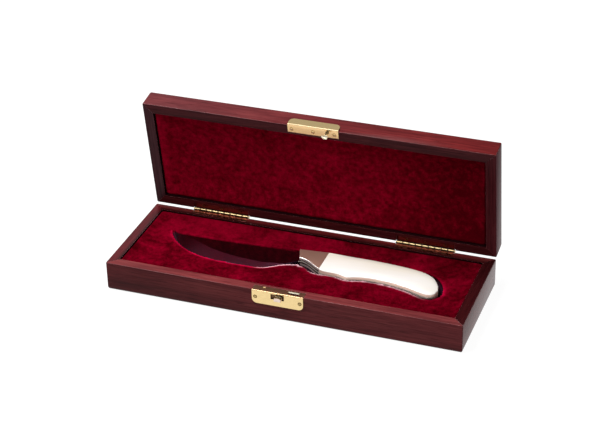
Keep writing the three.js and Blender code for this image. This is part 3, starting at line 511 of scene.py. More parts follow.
def drawn(name, draw, start=None):
    """A new mesh, with what draw(bm) adds to or changes in the one that it starts from."""
    mesh = bpy.data.meshes.new(name)
    bm = bmesh.new()
    if start:
        bm.from_mesh(start)
    draw(bm)
    bmesh.ops.recalc_face_normals(bm, faces=bm.faces)
    bm.to_mesh(mesh)
    bm.free()
    return mesh


def node_mesh(node, name):
    """The node's own surface as one welded mesh with its flat faces whole."""
    def draw(bm):
        bmesh.ops.remove_doubles(bm, verts=bm.verts, dist=WELD)
        bmesh.ops.dissolve_limit(bm, angle_limit=math.radians(FLAT_ANGLE), verts=bm.verts, edges=bm.edges)

    return drawn(name, draw, frame["nodes"][node].data)


def smooth(mesh, degrees=180):
    """Shades a mesh smooth, with edges sharper than an angle kept crisp."""
    mesh.polygons.foreach_set("use_smooth", [True] * len(mesh.polygons))
    if degrees < 180:
        mesh.set_sharp_from_angle(angle=math.radians(degrees))


def eased(node, name, finish, width):
    """The node's shape with its sharp edges eased."""
    piece = new_piece(name, node_mesh(node, name), finish, node)
    smooth(piece.data, EDGE_ANGLE)
    bevel = piece.modifiers.new("eased", "BEVEL")
    bevel.width = width
    bevel.segments = EDGE_STEPS
    bevel.limit_method = "ANGLE"
    bevel.angle_limit = math.radians(EDGE_ANGLE)
    bevel.harden_normals = True
    return piece


def refinish(piece, finish, chosen):
    """Gives the faces of a piece for which chosen(face) holds one more finish, and tells its number."""
    piece.data.materials.append(finishes[finish])
    number = len(piece.data.materials) - 1
    for face in piece.data.polygons:
        if chosen(face):
            face.material_index = number
    return number


def refinish_edges(piece, finish):
    """Gives the eased edges of a piece a finish of their own."""
    piece.modifiers["eased"].material = refinish(piece, finish, lambda face: False)


# Boards. FACING and ACROSS are shares of a face's normal along a way that it faces or lies along

FACING = 0.7
ACROSS = 0.3
BOARD_EASE = 0.25 * MM
PANEL_EASE = 0.3 * MM
PLY_EASE = 0.2 * MM
POCKET_DEPTH = 2 * MM


def in_hook_pocket(face):
    """True on the far walls behind the catch plate's front, where the hook and the thumb slide work."""
    return face.normal.y < -FACING and face.center.y > catch_front + POCKET_DEPTH


def make_boards():
    """Eight side boards, each rim toned to paint its own light and shade, two panels and the ply under the
    velvet.
    """
    grains = {"front": "lengthways", "back": "lengthways", "left": "crossways", "right": "crossways"}
    for part, prefix, rim_way in (("base", "", Vector(Z)), ("lid", "lid_", lid_rim_way)):
        heart = sum((box_middle(f"{part}_{side}_wall") for side in grains), Vector()) / len(grains)
        for side, grain in grains.items():
            board = eased(f"{part}_{side}_wall", f"{part}_{side}_board",
                          f"mahogany_{prefix}{grain}", BOARD_EASE)
            # Each rim gets its tone of painted light and shade
            refinish(board, f"mahogany_{prefix}{side}_rim", lambda face: face.normal.dot(rim_way) > FACING)
            # Inner faces of the walls: painted shade
            refinish(board, "mahogany_inside", lambda face: abs(face.normal.dot(rim_way)) < ACROSS
                     and face.normal.dot(heart - face.center) > 0)
            if (part, side) == ("base", "front"):
                # Painted shade in the pocket behind the catch plate
                refinish(board, "mahogany_inside", in_hook_pocket)
            # The eased edges carry a painted highlight
            refinish_edges(board, "mahogany_worn_edge")
    eased("base_bottom_panel", "base_floor_board", "mahogany_lengthways", PANEL_EASE)
    eased("lid_panel", "lid_top_board", "mahogany_lid_lengthways", PANEL_EASE)
    eased("base_tray_board", "tray_ply", "plain_board", PLY_EASE)
    eased("lid_lining_board", "lid_ply", "plain_board", PLY_EASE)


# Velvet linings

SOFTENING = 0.5


def apply_modifiers(piece):
    evaluated = piece.evaluated_get(bpy.context.evaluated_depsgraph_get())
    mesh = bpy.data.meshes.new_from_object(evaluated)
    piece.modifiers.clear()
    piece.data = mesh
    return mesh


def remeshed(piece, voxel, rounds):
    """Skin of even quads over the piece, its edges drawn soft."""
    remesh = piece.modifiers.new("even", "REMESH")
    remesh.mode = "VOXEL"
    remesh.voxel_size = voxel
    soften = piece.modifiers.new("soft", "SMOOTH")
    soften.factor = SOFTENING
    soften.iterations = rounds
    mesh = apply_modifiers(piece)
    smooth(mesh)
    return mesh


def mesh_points(mesh):
    return np.array([vertex.co for vertex in mesh.vertices], float)


def ruffled(mesh, layers):
    """Moves the skin in and out by layers of noise, each (scale, height, seed)."""
    points = mesh_points(mesh)
    normals = np.array([vertex.normal for vertex in mesh.vertices])
    heights = np.array([
        sum(height * noise.noise(Vector(point) * scale + Vector((seed, 0, seed)))
            for scale, height, seed in layers)
        for point in points])
    mesh.vertices.foreach_set("co", (points + normals * heights[:, None]).ravel())
    mesh.update()


def border_shares(mesh, ways, reach):
    """For each point of a lining, 1 at its outer border, less further in and 0 from reach on."""
    along = mesh_points(mesh) @ np.array(ways).T
    inside = np.minimum(along - along.min(0), along.max(0) - along).min(1)
    return np.clip(1 - inside / reach, 0, 1) ** 2


# Tray velvet: how fine its skin is, and its outer border

TRAY_VOXEL = 0.75 * MM
TRAY_ROUNDS = 3
TRAY_RUFFLES = [(28, 0.25 * MM, 1.0), (110, 0.12 * MM, 4.0), (420, 0.08 * MM, 9.0)]
BORDER_REACH = 9 * MM
BORDER_LIFT = 3.9 * MM
BORDER_DEPTH = 2 * MM

# The recess's edge: where it is found, how it is lifted and pushed over the recess along the knife

SQUARE_ON = 0.9
WELL_MARGIN = 4 * MM
LEVEL = 0.1 * MM
EDGE_SPACING = 0.6 * MM
EDGE_REACH = 2.4 * MM
EDGE_LIFT = 0.35 * MM
EDGE_PUSH = 1.2 * MM
GRIP_FROM = -20 * MM
GRIP_REACH = 10 * MM
GRIP_LIFT = 0.7 * MM
LIFT_FROM = 18 * MM
BUTT_FROM = 40 * MM
BUTT_REACH = 20 * MM
BUTT_PUSH = 0.5 * MM
TIP_FROM = -88 * MM
TIP_REACH = 22 * MM
TIP_TRIM = 1.6 * MM
TIP_SIDE = 0.6
SHORT_FROM = -116 * MM
SHORT_REACH = 14 * MM
TIP_SHORT = 2.4 * MM
SIDE_GAIN = 1.6

# The edge's painted glow, the painted highlight line in front of the grip, and the dark lining with painted
# shade below

LIT_GAIN = 1.4
LIT_LEAST = 0.1
GRIP_SHADE = 0.85
GLOW_REACH = 2.6 * MM
GLOW_LOSS_AT_TIP = 1.4 * MM
HIGHLIGHT_LINE_START, HIGHLIGHT_LINE_END = -40 * MM, 122 * MM
HIGHLIGHT_LINE_IN, HIGHLIGHT_LINE_OUT = 12 * MM, 15 * MM
HIGHLIGHT_LINE_WIDTH = 0.7 * MM
HIGHLIGHT_LINE_WIDTH_AT_GRIP = 0.45 * MM
PAUSE_START, PAUSE_END = -1 * MM, 13 * MM
PAUSE_REACH = 5 * MM
PAUSE_SHARE = 0.95
WELL_FROM = 1.5 * MM
WELL_FADE = 0.8 * MM


def tip_shift(x):
    """How far the tip of the blade and of its recess draws back towards the grip."""
    return TIP_SHORT * held((SHORT_FROM - x) / SHORT_REACH)


def recess_edge(mesh):
    """Points along the recess's edge in the velvet's top, each with the way out of the recess."""
    top = max(vertex.co.z for vertex in mesh.vertices)
    low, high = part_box("base_velvet_bed")

    def in_middle(point):
        return all(low[i] + WELL_MARGIN < point[i] < high[i] - WELL_MARGIN for i in (0, 1))

    bm = bmesh.new()
    bm.from_mesh(mesh)
    points, outward = [], []
    for edge in bm.edges:
        a, b = (vertex.co for vertex in edge.verts)
        flats = [face for face in edge.link_faces if face.normal.z > SQUARE_ON]
        if len(flats) != 1 or not (in_middle(a) and in_middle(b)) or min(a.z, b.z) < top - LEVEL:
            continue
        wall = next(face for face in edge.link_faces if face != flats[0])
        steps = max(int((b - a).length / EDGE_SPACING), 1)
        for step in range(steps + 1):
            points.append(a.lerp(b, step / steps))
            outward.append(-wall.normal)
    bm.free()
    return points, outward, top


def edge_at(place, way, distance):
    """At a distance from one place of the recess's edge: its move, its painted glow and its painted highlight
    line.
    """
    by_grip = held((place.x - GRIP_FROM) / GRIP_REACH)
    by_tip = held((TIP_FROM - place.x) / TIP_REACH)
    slope = held(TIP_SIDE - 2 * way.y)
    front = held(-way.y * SIDE_GAIN)
    by_butt = held((place.x - BUTT_FROM) / BUTT_REACH) * held(way.y * SIDE_GAIN)
    push = EDGE_PUSH * by_grip + TIP_TRIM * by_tip * slope + BUTT_PUSH * by_butt
    lift = EDGE_LIFT + GRIP_LIFT * held((place.x - LIFT_FROM) / GRIP_REACH) * front
    raised = max(1 - distance / EDGE_REACH, 0) ** 2
    move = Vector((tip_shift(place.x) * raised, 0, lift * raised)) - way * (push * raised)
    # How much the edge faces the light, painted as a glow
    lit = held(1 - LIT_GAIN * way.y, LIT_LEAST) * (1 - GRIP_SHADE * by_grip * front)
    nap = lit * max(1 - distance / (GLOW_REACH - GLOW_LOSS_AT_TIP * by_tip), 0)
    # Where the painted highlight line runs, and how wide it is
    along = held((place.x - HIGHLIGHT_LINE_START) / HIGHLIGHT_LINE_IN) * held((HIGHLIGHT_LINE_END - place.x) / HIGHLIGHT_LINE_OUT)
    pause = held((place.x - PAUSE_START) / PAUSE_REACH) * held((PAUSE_END - place.x) / PAUSE_REACH)
    width = HIGHLIGHT_LINE_WIDTH + (HIGHLIGHT_LINE_WIDTH_AT_GRIP - HIGHLIGHT_LINE_WIDTH) * held(place.x / GRIP_REACH)
    return move, nap, front * along * (1 - PAUSE_SHARE * pause) * held(2 - distance / width)


def make_tray_velvet():
    """The velvet bed over its foam, its border raised and its cut edge soft round the knife's recess."""
    bed = new_piece("tray_velvet_bed", node_mesh("base_velvet_bed", "tray_velvet_bed"), "tray_velvet",
                    "base_velvet_bed")
    points, outward, top = recess_edge(bed.data)
    tree = KDTree(len(points))
    for i, point in enumerate(points):
        tree.insert(point, i)
    tree.balance()
    mesh = remeshed(bed, TRAY_VOXEL, TRAY_ROUNDS)
    amounts = []
    for vertex, border in zip(mesh.vertices, border_shares(mesh, (X, Y), BORDER_REACH)):
        place, i, distance = tree.find(vertex.co)
        move, nap, highlight_line_amount = edge_at(place, outward[i], distance)
        vertex.co += move
        if vertex.co.z > top - BORDER_DEPTH:
            vertex.co.z += BORDER_LIFT * border
        # Painted glow, painted highlight line, and the well's darkening with depth, which is a dark lining
        # and painted shade
        amounts.append((nap, highlight_line_amount, held((top - WELL_FROM - vertex.co.z) / WELL_FADE)))
    ruffled(mesh, TRAY_RUFFLES)
    for name, values in zip(TRAY_LAYERS, zip(*amounts)):
        mesh.attributes.new(name, "FLOAT", "POINT").data.foreach_set("value", values)


LID_VOXEL = 1.1 * MM
LID_ROUNDS = 4
LID_RUFFLES = [(22, 0.3 * MM, 2.0), (95, 0.14 * MM, 5.0), (400, 0.08 * MM, 7.0)]
PAD_REACH = 26 * MM
PAD_LIFT = 5.2 * MM


def make_lid_velvet():
    """The lid's velvet pad, fuller towards its border."""
    pad = new_piece("lid_velvet_lining", node_mesh("lid_velvet_pad", "lid_velvet_lining"), "lid_velvet",
                    "lid_velvet_pad")
    mesh = remeshed(pad, LID_VOXEL, LID_ROUNDS)
    heart = box_middle("lid_velvet_pad")
    for vertex, border in zip(mesh.vertices, border_shares(mesh, (X, lid_depth), PAD_REACH)):
        if (vertex.co - heart).dot(lid_rim_way) > 0:
            vertex.co += lid_rim_way * (PAD_LIFT * border)
    ruffled(mesh, LID_RUFFLES)


# Catch, strike and hinges

PLATE_EASE = 0.14 * MM
SLIDE_EASE = 0.16 * MM
HOOK_EASE = 0.2 * MM
LEAF_EASE = 0.1 * MM
FOLD_LEAST, FOLD_MOST = 0.2, 0.95
KNOB_RISE = 0.25
SLOT_SLOPE = 0.6 * MM
SLOT_EDGE = 0.05 * MM
SLOT_DROP = 1.2 * MM
SLOT_WALL_AREA = 4 * MM * MM
BARREL_WALL = 1.4 * MM

# Finish of the hinges' leaves and of the screws' heads, by a word in the node's name
# The lower leaves' finish paints a red reflection, the upper leaves' finish paints shade
HEADS = {"lower": "browned_leaf_brass", "upper": "darkened_leaf_brass", "rim": "rim_screw_head",
         "face": "dull_screw_head"}


def on_fold(face):
    """True where a bent plate turns from its front on to the rim."""
    return -FOLD_MOST < face.normal.y < -FOLD_LEAST and face.normal.z > FOLD_LEAST


def on_slot_wall(face):
    """True on the far wall of the slot that the hook drops into."""
    return in_hook_pocket(face) and face.center.z > catch_top - SLOT_DROP and face.area > SLOT_WALL_AREA


def make_catch():
    """The folded catch plate, its slot's far wall drawn to a slope and painted with a highlight, and the
    thumb slide in its window.
    """
    catch = eased("catch_plate", "catch_plate_brass", "sheet_brass", PLATE_EASE)
    plate = catch.data
    far_wall = {i for face in plate.polygons if on_slot_wall(face) for i in face.vertices}
    for i in far_wall:
        if plate.vertices[i].co.z > catch_top - SLOT_EDGE:
            plate.vertices[i].co.y += SLOT_SLOPE
    plate.update()
    # Flange top: painted dark reflection
    refinish(catch, "satin_brass", lambda face: face.normal.z > SQUARE_ON)
    refinish(catch, "edge_brass", on_fold)
    # Painted highlight on the slot's far wall
    refinish(catch, "filed_brass", on_slot_wall)
    refinish_edges(catch, "edge_brass")
    # The knob's pale tone paints its reflection; its top is painted dark towards the front
    slide = eased("catch_thumb_slide", "thumb_slide_brass", "knob_brass", SLIDE_EASE)
    refinish(slide, "knob_top", lambda face: face.normal.z > KNOB_RISE and face.normal.y > -SQUARE_ON)
    refinish(slide, "shaded_brass", lambda face: face.center.y > catch_front)


def make_strike():
    """The lid's folded plate and the hook riveted through it."""
    strike = eased("strike_plate", "strike_plate_brass", "sheet_brass", PLATE_EASE)
    refinish(strike, "strike_brass", lambda face: face.normal.dot(lid_rim_way) > SQUARE_ON)
    refinish(strike, "strike_fold", on_fold)
    refinish_edges(strike, "strike_fold")
    eased("strike_hook", "strike_hook_brass", "hook_brass", HOOK_EASE)


def make_hinges():
    """Two butt hinges: leaves with a painted red reflection below and painted shade above, polished knuckles
    and their pins.
    """
    barrel = max(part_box("left_hinge_pin")[1].z - lid_axis.z, 0) + BARREL_WALL
    for side in ("left", "right"):
        for half in ("lower", "upper"):
            leaf = eased(f"{side}_hinge_{half}_leaf", f"{side}_{half}_leaf_brass", HEADS[half], LEAF_EASE)
            refinish(leaf, "knuckle_brass", lambda face: (face.center - lid_axis).yz.length < barrel)
        eased(f"{side}_hinge_pin", f"{side}_pin_brass", "screw_brass", LEAF_EASE)


# Screws

SCREW_RADIUS = 1.8 * MM
SCREW_RIM = (0.12 * MM, 0.06 * MM)
SCREW_DOME = 0.3 * MM
SCREW_NECK = 0.7 * MM
SCREW_LENGTH = 6 * MM
SCREW_SIDES = 32
SCREW_ANGLE = 35
RING_SHARE = 0.62
SHANK_SHARE = 0.38
SLOT_WIDTH = 0.36 * MM
SLOT_DEPTH = 0.34 * MM
HINGE_SCREW_SCALE = 0.76
SCREW_SEED = 11


def screw_place(node):
    """Middle of a screw's head and the direction out of it, from the node's own shape."""
    points = np.unique(np.round(mesh_points(frame["nodes"][node].data), 7), axis=0)
    middle = (points.min(0) + points.max(0)) / 2
    axis = np.linalg.svd(points - points.mean(0))[2][0]
    along = (points - middle) @ axis
    around = np.linalg.norm(points - middle - np.outer(along, axis), axis=1)
    if around[along > 0].max() < around[along < 0].max():
        axis = -axis
        along = -along
    return Vector(middle + axis * along.max()), Vector(axis)


def draw_screw(bm):
    """A screw turned on its axis, its domed head resting at the origin, its shank down -Z."""
    profile = [
        (0, SCREW_DOME),
        (0.4 * SCREW_RADIUS, 0.9 * SCREW_DOME),
        (RING_SHARE * SCREW_RADIUS, 0.75 * SCREW_DOME),
        (SCREW_RADIUS, SCREW_RIM[0]),
        (SCREW_RADIUS, SCREW_RIM[1]),
        (0.75 * SCREW_RADIUS, SCREW_RIM[1]),
        (SHANK_SHARE * SCREW_RADIUS, -SCREW_NECK),
        (SHANK_SHARE * SCREW_RADIUS, -0.8 * SCREW_LENGTH),
        (0, -SCREW_LENGTH),
    ]
    verts = [bm.verts.new((radius, 0, height)) for radius, height in profile]
    edges = [bm.edges.new(pair) for pair in zip(verts, verts[1:])]
    bmesh.ops.spin(bm, geom=verts + edges, cent=(0, 0, 0), axis=Z, angle=2 * math.pi,
                   steps=SCREW_SIDES, use_duplicate=False)
    bmesh.ops.remove_doubles(bm, verts=bm.verts, dist=WELD)


def draw_slot(bm):
    """The bar that cuts a screw's slot."""
    bmesh.ops.create_cube(bm, size=1)
    bmesh.ops.scale(bm, vec=Vector((3 * SCREW_RADIUS, SLOT_WIDTH, 2 * SLOT_DEPTH)), verts=bm.verts)
    bmesh.ops.translate(bm, vec=(0, 0, SCREW_DOME), verts=bm.verts)


def screw_mesh():
    """Slotted screw, cut once as the pattern for all."""
    head = placed("screw_pattern", drawn("screw_body", draw_screw))
    blade = placed("slot_pattern", drawn("screw_slot", draw_slot))
    cut = head.modifiers.new("slot", "BOOLEAN")
    cut.operation = "DIFFERENCE"
    cut.object = blade
    bpy.context.view_layer.update()
    mesh = apply_modifiers(head)
    for item in (head, blade):
        bpy.data.objects.remove(item)
    return mesh


def make_screws():
    """A slotted screw for each screw node, its slot turned by chance, its rim darker."""
    pattern = screw_mesh()
    chance = random.Random(SCREW_SEED)
    for node in sorted(body_of):
        if "screw" not in node:
            continue
        top, outward = screw_place(node)
        spin = Matrix.Rotation(chance.uniform(0, math.pi), 3, "Z")
        turn = outward.to_track_quat("Z", "Y").to_matrix() @ spin
        mesh = pattern.copy()
        scale = HINGE_SCREW_SCALE if "hinge" in node else 1
        mesh.transform(Matrix.Translation(top) @ turn.to_4x4() @ Matrix.Scale(scale, 4))
        smooth(mesh, SCREW_ANGLE)
        # Screws on the hinge leaves take the leaves' painted reflection and shade
        head = next((finish for word, finish in HEADS.items() if word in node), "screw_brass")
        screw = new_piece(f"{node}_slotted", mesh, head, node)
        ring = RING_SHARE * SCREW_RADIUS * scale
        refinish(screw, "seam_brass" if "strike" in node else "dark_seam",
                 lambda face: (face.center - top).cross(outward).length > ring)


# Knife, its outline read from the blade's own stations

def knife_outline():
    """Rows of X, back, grind line and front along the knife, and the middle and half of its thickness."""
    points = np.unique(np.round(mesh_points(frame["nodes"]["knife_blade"].data), 6), axis=0)
    low, high = points[:, 2].min(), points[:, 2].max()
    middle, half = (low + high) / 2, (high - low) / 2
    rows = []
    for x in np.unique(points[:, 0]):
        ring = points[points[:, 0] == x]
        flat = ring[np.abs(ring[:, 2] - middle) > 0.99 * half]
        rows.append((x, flat[:, 1].max(), flat[:, 1].min(), ring[:, 1].min()))
    return np.array(rows), middle, half


def curve_through(xs, ys, where):
    """Cubic through the points, with slopes taken from each point's neighbours."""
    slopes = np.gradient(ys, xs)
    i = np.clip(np.searchsorted(xs, where) - 1, 0, len(xs) - 2)
    span = xs[i + 1] - xs[i]
    t = (where - xs[i]) / span
    return ((2 * t**3 - 3 * t**2 + 1) * ys[i] + (t**3 - 2 * t**2 + t) * span * slopes[i]
            + (3 * t**2 - 2 * t**3) * ys[i + 1] + (t**3 - t**2) * span * slopes[i + 1])


LOFT_WELD = 0.008 * MM


def lofted(name, rings, strips):
    """Closed skin over rings of points, its two ends filled; strips gives the finish number of each strip."""
    mesh = bpy.data.meshes.new("open_skin")
    count = len(rings[0])
    verts = [tuple(point) for ring in rings for point in ring]
    faces = []
    for ring in range(len(rings) - 1):
        for i in range(count):
            a, b = ring * count + i, ring * count + (i + 1) % count
            faces.append((a, b, b + count, a + count))
    last = (len(rings) - 1) * count
    faces += [tuple(reversed(range(count))), tuple(range(last, last + count))]
    mesh.from_pydata(verts, [], faces)
    for polygon in mesh.polygons[:-2]:
        polygon.material_index = strips[polygon.index % count]
    return drawn(name, lambda bm: bmesh.ops.remove_doubles(bm, verts=bm.verts, dist=LOFT_WELD), mesh)


knife_rows, knife_middle, blade_half = knife_outline()
knife_start, knife_end = knife_rows[0, 0], knife_rows[-1, 0]
BLADE_STATIONS = 220
BLADE_ANGLE = 5
POINT_INSET, BUTT_INSET = 0.01 * MM, 0.3 * MM
LEAST_WIDTH = 0.02 * MM
EDGE_HALF = 0.12 * MM
BEVEL_SLOPE = 0.14
SPINE_EASE = 0.14 * MM
GRIND_RUNOUT = 8 * MM
RUNOUT_FROM = -55 * MM
RUNOUT_REACH = 20 * MM
TANG_HALF = 0.42 * MM
TANG_LEAD = 3 * MM
TANG_LIFT = 0.35 * MM
TANG_SINK = -0.25 * MM
TANG_REACH = 45 * MM

# Finish of each strip of a blade section, once round: 0 on the flats and the spine, 1 on the ground bevels
BLADE_STRIPS = [0, 0, 1, 1, 1, 1, 1, 0, 0, 0]


def crowded(count, start, end):
    """Places from start to end that crowd towards both ends."""
    return start + (end - start) * (1 - np.cos(np.pi * np.arange(count + 1) / count)) / 2


def tang_middle(x):
    """Height of the tang's middle above the blade's, a little high at the bolster and low in the grip."""
    return TANG_LIFT + (TANG_SINK - TANG_LIFT) * held(x / TANG_REACH)


def blade_section(back, grind, front, half):
    """Upper half of the section: eased spine, mirror flat, ground bevel and a fine edge."""
    width = max(back - front, LEAST_WIDTH)
    ease = min(SPINE_EASE, 0.2 * width)
    bevel = held(grind - front, ease, width - 2 * ease)
    drop = min(bevel * BEVEL_SLOPE, half - EDGE_HALF) if bevel > ease else 0
    near_edge = drop * (1 - 0.5 * ease / bevel)
    return [(back, half - ease), (back - ease, half), (front + bevel, half),
            (front + 0.5 * ease, half - near_edge), (front, max(half - drop - 0.5 * ease, 0.4 * EDGE_HALF))]


def make_blade():
    """Blade and tang in one, the grind run out towards the heel."""
    xs, back, grind, front = knife_rows.T
    places = crowded(BLADE_STATIONS, knife_start + POINT_INSET, knife_end - BUTT_INSET)
    tang_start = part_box("knife_upper_bolster")[0].x + TANG_LEAD
    late = GRIND_RUNOUT * np.clip((places - RUNOUT_FROM) / RUNOUT_REACH, 0, 1)
    back_ys = curve_through(xs, back, places)
    front_ys = curve_through(xs, front, places) + TIP_TRIM * np.clip((TIP_FROM - places) / TIP_REACH, 0, 1)
    grind_ys = front_ys + curve_through(xs, grind - front, places - late)
    rings = []
    for x, back_y, grind_y, front_y in zip(places, back_ys, grind_ys, front_ys):
        tang = x > tang_start
        upper = blade_section(back_y, grind_y, front_y, TANG_HALF if tang else blade_half)
        lower = [(y, -z) for y, z in reversed(upper)]
        middle = knife_middle + (tang_middle(x) if tang else 0)
        rings.append([(x + tip_shift(x), y, middle + z) for y, z in upper + lower])
    mesh = lofted("blade", rings, BLADE_STRIPS)
    smooth(mesh, BLADE_ANGLE)
    # The flats' tone paints a dark reflection
    blade = new_piece("blade_and_tang", mesh, "blade_mirror", "knife_blade")
    # Bevels: painted lilac reflection
    mesh.materials.append(finishes["blade_bevel"])
    refinish(blade, "tang_steel", lambda face: face.center.x > tang_start and abs(face.normal.z) < SQUARE_ON)


BOLSTER_SHARE = 0.4973
SCALE_WALL = 2.6 * MM
SCALE_LEAN = (0.21, 0.24)
BOLSTER_LIP = 0.8 * MM
SCALE_LIP = 0.15 * MM
GRIP_SEAM = 0.2 * MM
GRIP_SWELL = 26 * MM
GRIP_STATIONS = 110
GRIP_ANGLE = 20
GRIP_LEAST = 0.3 * MM
GRIP_WALL_STEPS = 5
GRIP_FOOT_STEPS = 2
GRIP_LIP_STEPS = 5
GRIP_CROWN_STEPS = 16
BUTT_ROUNDING = 30 * MM
BACK_FULLNESS = 0.4


def grip_ring(front_point, back_point, side, wall, lean, lip, crown):
    """Section of one side of the grip, in heights from the blade's middle: leaning wall, lip and low crown.

    The back half is fuller than the front, which the fingers close round."""
    low = TANG_HALF + GRIP_SEAM + side * tang_middle(front_point[0])
    front_point, back_point = Vector(front_point), Vector(back_point)
    width = (back_point - front_point).length
    lip = min(lip, width / 4)
    height = wall - lip - low
    section = []
    for step in range(GRIP_WALL_STEPS + 1):
        share = step / GRIP_WALL_STEPS
        inset = lean * height * (SCALE_LEAN[0] * share + SCALE_LEAN[1] * share**2)
        section.append((min(inset, width / 4), low + height * share))
    start = section[-1][0]
    for step in range(1, GRIP_LIP_STEPS + 1):
        angle = step / (GRIP_LIP_STEPS + 1) * math.pi / 2
        section.append((start + lip * (1 - math.cos(angle)), wall - lip + lip * math.sin(angle)))
    edge = start + lip
    for step in range(GRIP_CROWN_STEPS // 2 + 1):
        share = step / GRIP_CROWN_STEPS
        rise = 1 - abs(2 * share - 1) ** 4
        section.append((edge + (width - 2 * edge) * share, wall + (crown - wall) * rise))
    back_wall = wall + (crown - wall) * BACK_FULLNESS
    for place, height in section[-2::-1]:
        if height > wall:
            height = crown - (crown - height) * (1 - BACK_FULLNESS)
        else:
            height = low + (height - low) * (back_wall - low) / (wall - low)
        section.append((width - place, height))
    ring = []
    for place, height in section:
        point = front_point.lerp(back_point, place / width)
        ring.append((point.x, point.y, knife_middle + side * height))
    return ring


def grip_strips():
    """Finish of each strip of a grip section: 3 on the walls' feet, 1 above, 2 on the lips, 0 elsewhere."""
    half = [3] * GRIP_FOOT_STEPS + [1] * (GRIP_WALL_STEPS - GRIP_FOOT_STEPS) + [2] * (GRIP_LIP_STEPS + 1)
    half += [0] * (GRIP_CROWN_STEPS // 2)
    return half + half[::-1] + [0]


def grip_piece(name, node, finish_keys, side, starts, end, section_at):
    """One side of the grip from a front end, its X at the front and back edges, to a square end."""
    xs, back, _, front = knife_rows.T
    rings = []
    for share in crowded(GRIP_STATIONS, 0, 1):
        front_x, back_x = (start + (end - start) * share for start in starts)
        front_y = curve_through(xs, front, np.array([front_x]))[0]
        back_y = max(curve_through(xs, back, np.array([back_x]))[0], front_y + GRIP_LEAST)
        rings.append(grip_ring((front_x, front_y, 0), (back_x, back_y, 0), side, *section_at(front_x)))
    mesh = lofted(name, rings, grip_strips())
    smooth(mesh, GRIP_ANGLE)
    new_piece(name, mesh, finish_keys[0], node)
    for key in finish_keys[1:]:
        mesh.materials.append(finishes[key])


def make_grip():
    """Bolsters and scales above and below the tang, the scales swelling from the bolster to the butt."""
    joint_x = (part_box("knife_upper_bolster")[1].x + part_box("knife_upper_scale")[0].x) / 2
    bolster_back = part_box("knife_upper_bolster")[0].x
    bolster_front = knife_start + (knife_end - knife_start) * BOLSTER_SHARE
    bolster_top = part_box("knife_upper_bolster")[1].z - knife_middle
    scale_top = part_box("knife_upper_scale")[1].z - knife_middle

    def bolster_at(x):
        return bolster_top, 0, BOLSTER_LIP, bolster_top

    def scale_at(x):
        share = held((x - joint_x) / GRIP_SWELL)
        swell = share * share * (3 - 2 * share)
        near = held((knife_end - x) / BUTT_ROUNDING)
        full = math.sqrt(max(1 - (1 - near) ** 3, 0))
        wall = bolster_top + (SCALE_WALL - bolster_top) * swell
        lip = BOLSTER_LIP + (SCALE_LIP - BOLSTER_LIP) * swell
        crown = bolster_top + (scale_top - bolster_top) * swell
        return wall, swell, lip, wall + (crown - wall) * full

    for face, side in {"upper": 1, "lower": -1}.items():
        # Bolsters: painted red reflection on top, painted highlight on the lips, painted shade at the feet
        grip_piece(f"{face}_bolster_steel", f"knife_{face}_bolster",
                   ("bolster_satin", "bolster_side", "bolster_lip", "bolster_foot"),
                   side, (bolster_front, bolster_back), joint_x - GRIP_SEAM / 2, bolster_at)
        # Scales: the walls and feet carry painted shade
        grip_piece(f"{face}_scale_ivory", f"knife_{face}_scale",
                   ("ivory_grip", "ivory_side") * 2, side, [joint_x + GRIP_SEAM / 2] * 2, knife_end, scale_at)


# Return spring

SPRING_CURLS = 8
SPRING_STEPS = 24
SPRING_WIRE = 0.5 * MM
SPRING_ROUNDNESS = 3


def make_spring():
    """A coil of round wire in place of the spring's plain solid."""
    low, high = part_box("catch_return_spring")
    middle = box_middle("catch_return_spring")
    radius = (high.z - low.z) / 2 - SPRING_WIRE / 2
    curve = bpy.data.curves.new("return_spring_wire", "CURVE")
    curve.dimensions = "3D"
    curve.bevel_depth = SPRING_WIRE / 2
    curve.bevel_resolution = SPRING_ROUNDNESS
    curve.use_fill_caps = True
    spline = curve.splines.new("POLY")
    steps = SPRING_CURLS * SPRING_STEPS
    spline.points.add(steps)
    for step in range(steps + 1):
        turn = step / SPRING_STEPS * 2 * math.pi
        x = low.x + SPRING_WIRE / 2 + (high.x - low.x - SPRING_WIRE) * step / steps
        y, z = middle.y + radius * math.cos(turn), middle.z + radius * math.sin(turn)
        spline.points[step].co = (x, y, z, 1)
    wire = placed("spring_pattern", curve)
    bpy.context.view_layer.update()
    mesh = bpy.data.meshes.new_from_object(wire.evaluated_get(bpy.context.evaluated_depsgraph_get()))
    bpy.data.objects.remove(wire)
    smooth(mesh)
    spring = new_piece("return_spring_wire", mesh, "spring_wire", "catch_return_spring")
    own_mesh(spring)


# Floor, world and lamps

FLOOR_SIZE = 6
FLOOR_DROP = 0.2 * MM
WHITE = colour(1, 1, 1)
PAPER = colour(0.18, 0.18, 0.18)
PAPER_GLOW = 0.95
ROOM_LIGHT = 0.10
WALL_LIGHT = 1.0
DARK_CORNER = colour(1.0, 0.85, 0.8)
DARK_CORNER_LIGHT = 0.04


def seen_directly(f):
    """1 for rays that the eye or a reflection sends out, 0 for light that bounces about."""
    camera, glossy, through = (f.add("ShaderNodeLightPath", output=ray)
                               for ray in ("Is Camera Ray", "Is Glossy Ray", "Is Transmission Ray"))
    return f.add("ShaderNodeMath", {"operation": "ADD", "use_clamp": True}, [camera + glossy, through])


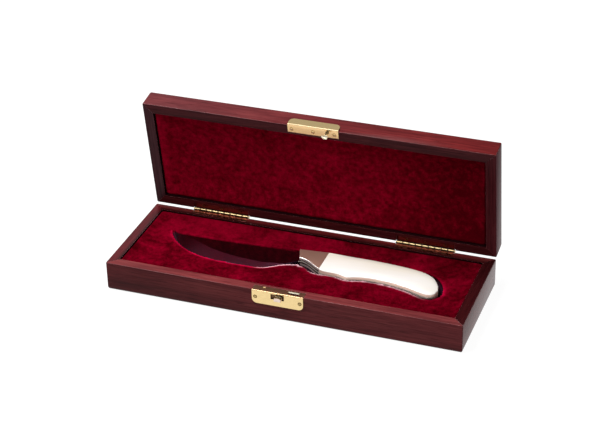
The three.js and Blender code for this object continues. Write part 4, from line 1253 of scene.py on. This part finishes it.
def make_floor():
    """White paper that shows white to the eye and to reflections, a little greyer in the shadow."""
    f = material("studio_floor")
    paper = f.add("ShaderNodeBsdfDiffuse", None, [PAPER])
    glow = f.add("ShaderNodeEmission", None, [WHITE, PAPER_GLOW])
    white = f.add("ShaderNodeAddShader", None, [paper, glow])
    shader = f.add("ShaderNodeMixShader", None, [seen_directly(f), paper, white])
    f.add("ShaderNodeOutputMaterial", None, [shader])
    mesh = bpy.data.meshes.new("studio_floor")
    half = FLOOR_SIZE / 2
    corners = [(-half, -half, 0), (half, -half, 0), (half, half, 0), (-half, half, 0)]
    mesh.from_pydata(corners, [], [(0, 1, 2, 3)])
    mesh.materials.append(f.owner)
    floor = placed("studio_floor", mesh)
    floor.location.z = -FLOOR_DROP


def make_world():
    """Dim light all round; reflections see white walls, and a dark room low on the catch side."""
    f = Finish(bpy.data.worlds.new("studio"))
    bpy.context.scene.world = f.owner
    way = f.add("ShaderNodeTexCoord", output="Generated")
    behind = f.rising(f.part(way, (0, 0.5, 0)) + 0.5, 0.32, 0.46, 0.5)
    above = f.rising(f.part(way, Z), 0.74, 0.84)
    lit = f.math("MAXIMUM", behind, above)
    glossy = f.add("ShaderNodeLightPath", output="Is Glossy Ray")
    dim, white, dark = (f.add("ShaderNodeBackground", None, [tone, light]) for tone, light in (
        (WHITE, ROOM_LIGHT), (WHITE, WALL_LIGHT), (DARK_CORNER, DARK_CORNER_LIGHT)))
    walls = f.add("ShaderNodeMixShader", None, [glossy * (1 - lit), white, dark])
    sky = f.add("ShaderNodeMixShader", None, [seen_directly(f), dim, walls])
    f.add("ShaderNodeOutputWorld", None, [sky])


def lamp(name, place, aim, size, power):
    """A rectangular lamp at a place, turned to what it lights."""
    light = bpy.data.lights.new(name, "AREA")
    light.shape = "RECTANGLE"
    light.size, light.size_y = size
    light.energy = power
    holder = placed(name, light)
    holder.location = place
    holder.rotation_euler = (Vector(aim) - Vector(place)).to_track_quat("-Z", "Y").to_euler()


make_camera()
make_boards()
make_tray_velvet()
make_lid_velvet()
make_catch()
make_strike()
make_hinges()
make_screws()
make_blade()
make_grip()
make_spring()
make_floor()
make_world()
lamp("overhead", (-0.40, -0.10, 1.1), (0, 0, 0), (1.0, 0.5), 17.2)
lamp("right_fill", (1.0, -1.1, 0.45), (0, 0, 0.06), (0.8, 0.6), 3.8)
bpy.context.scene.view_settings.view_transform = "Standard"
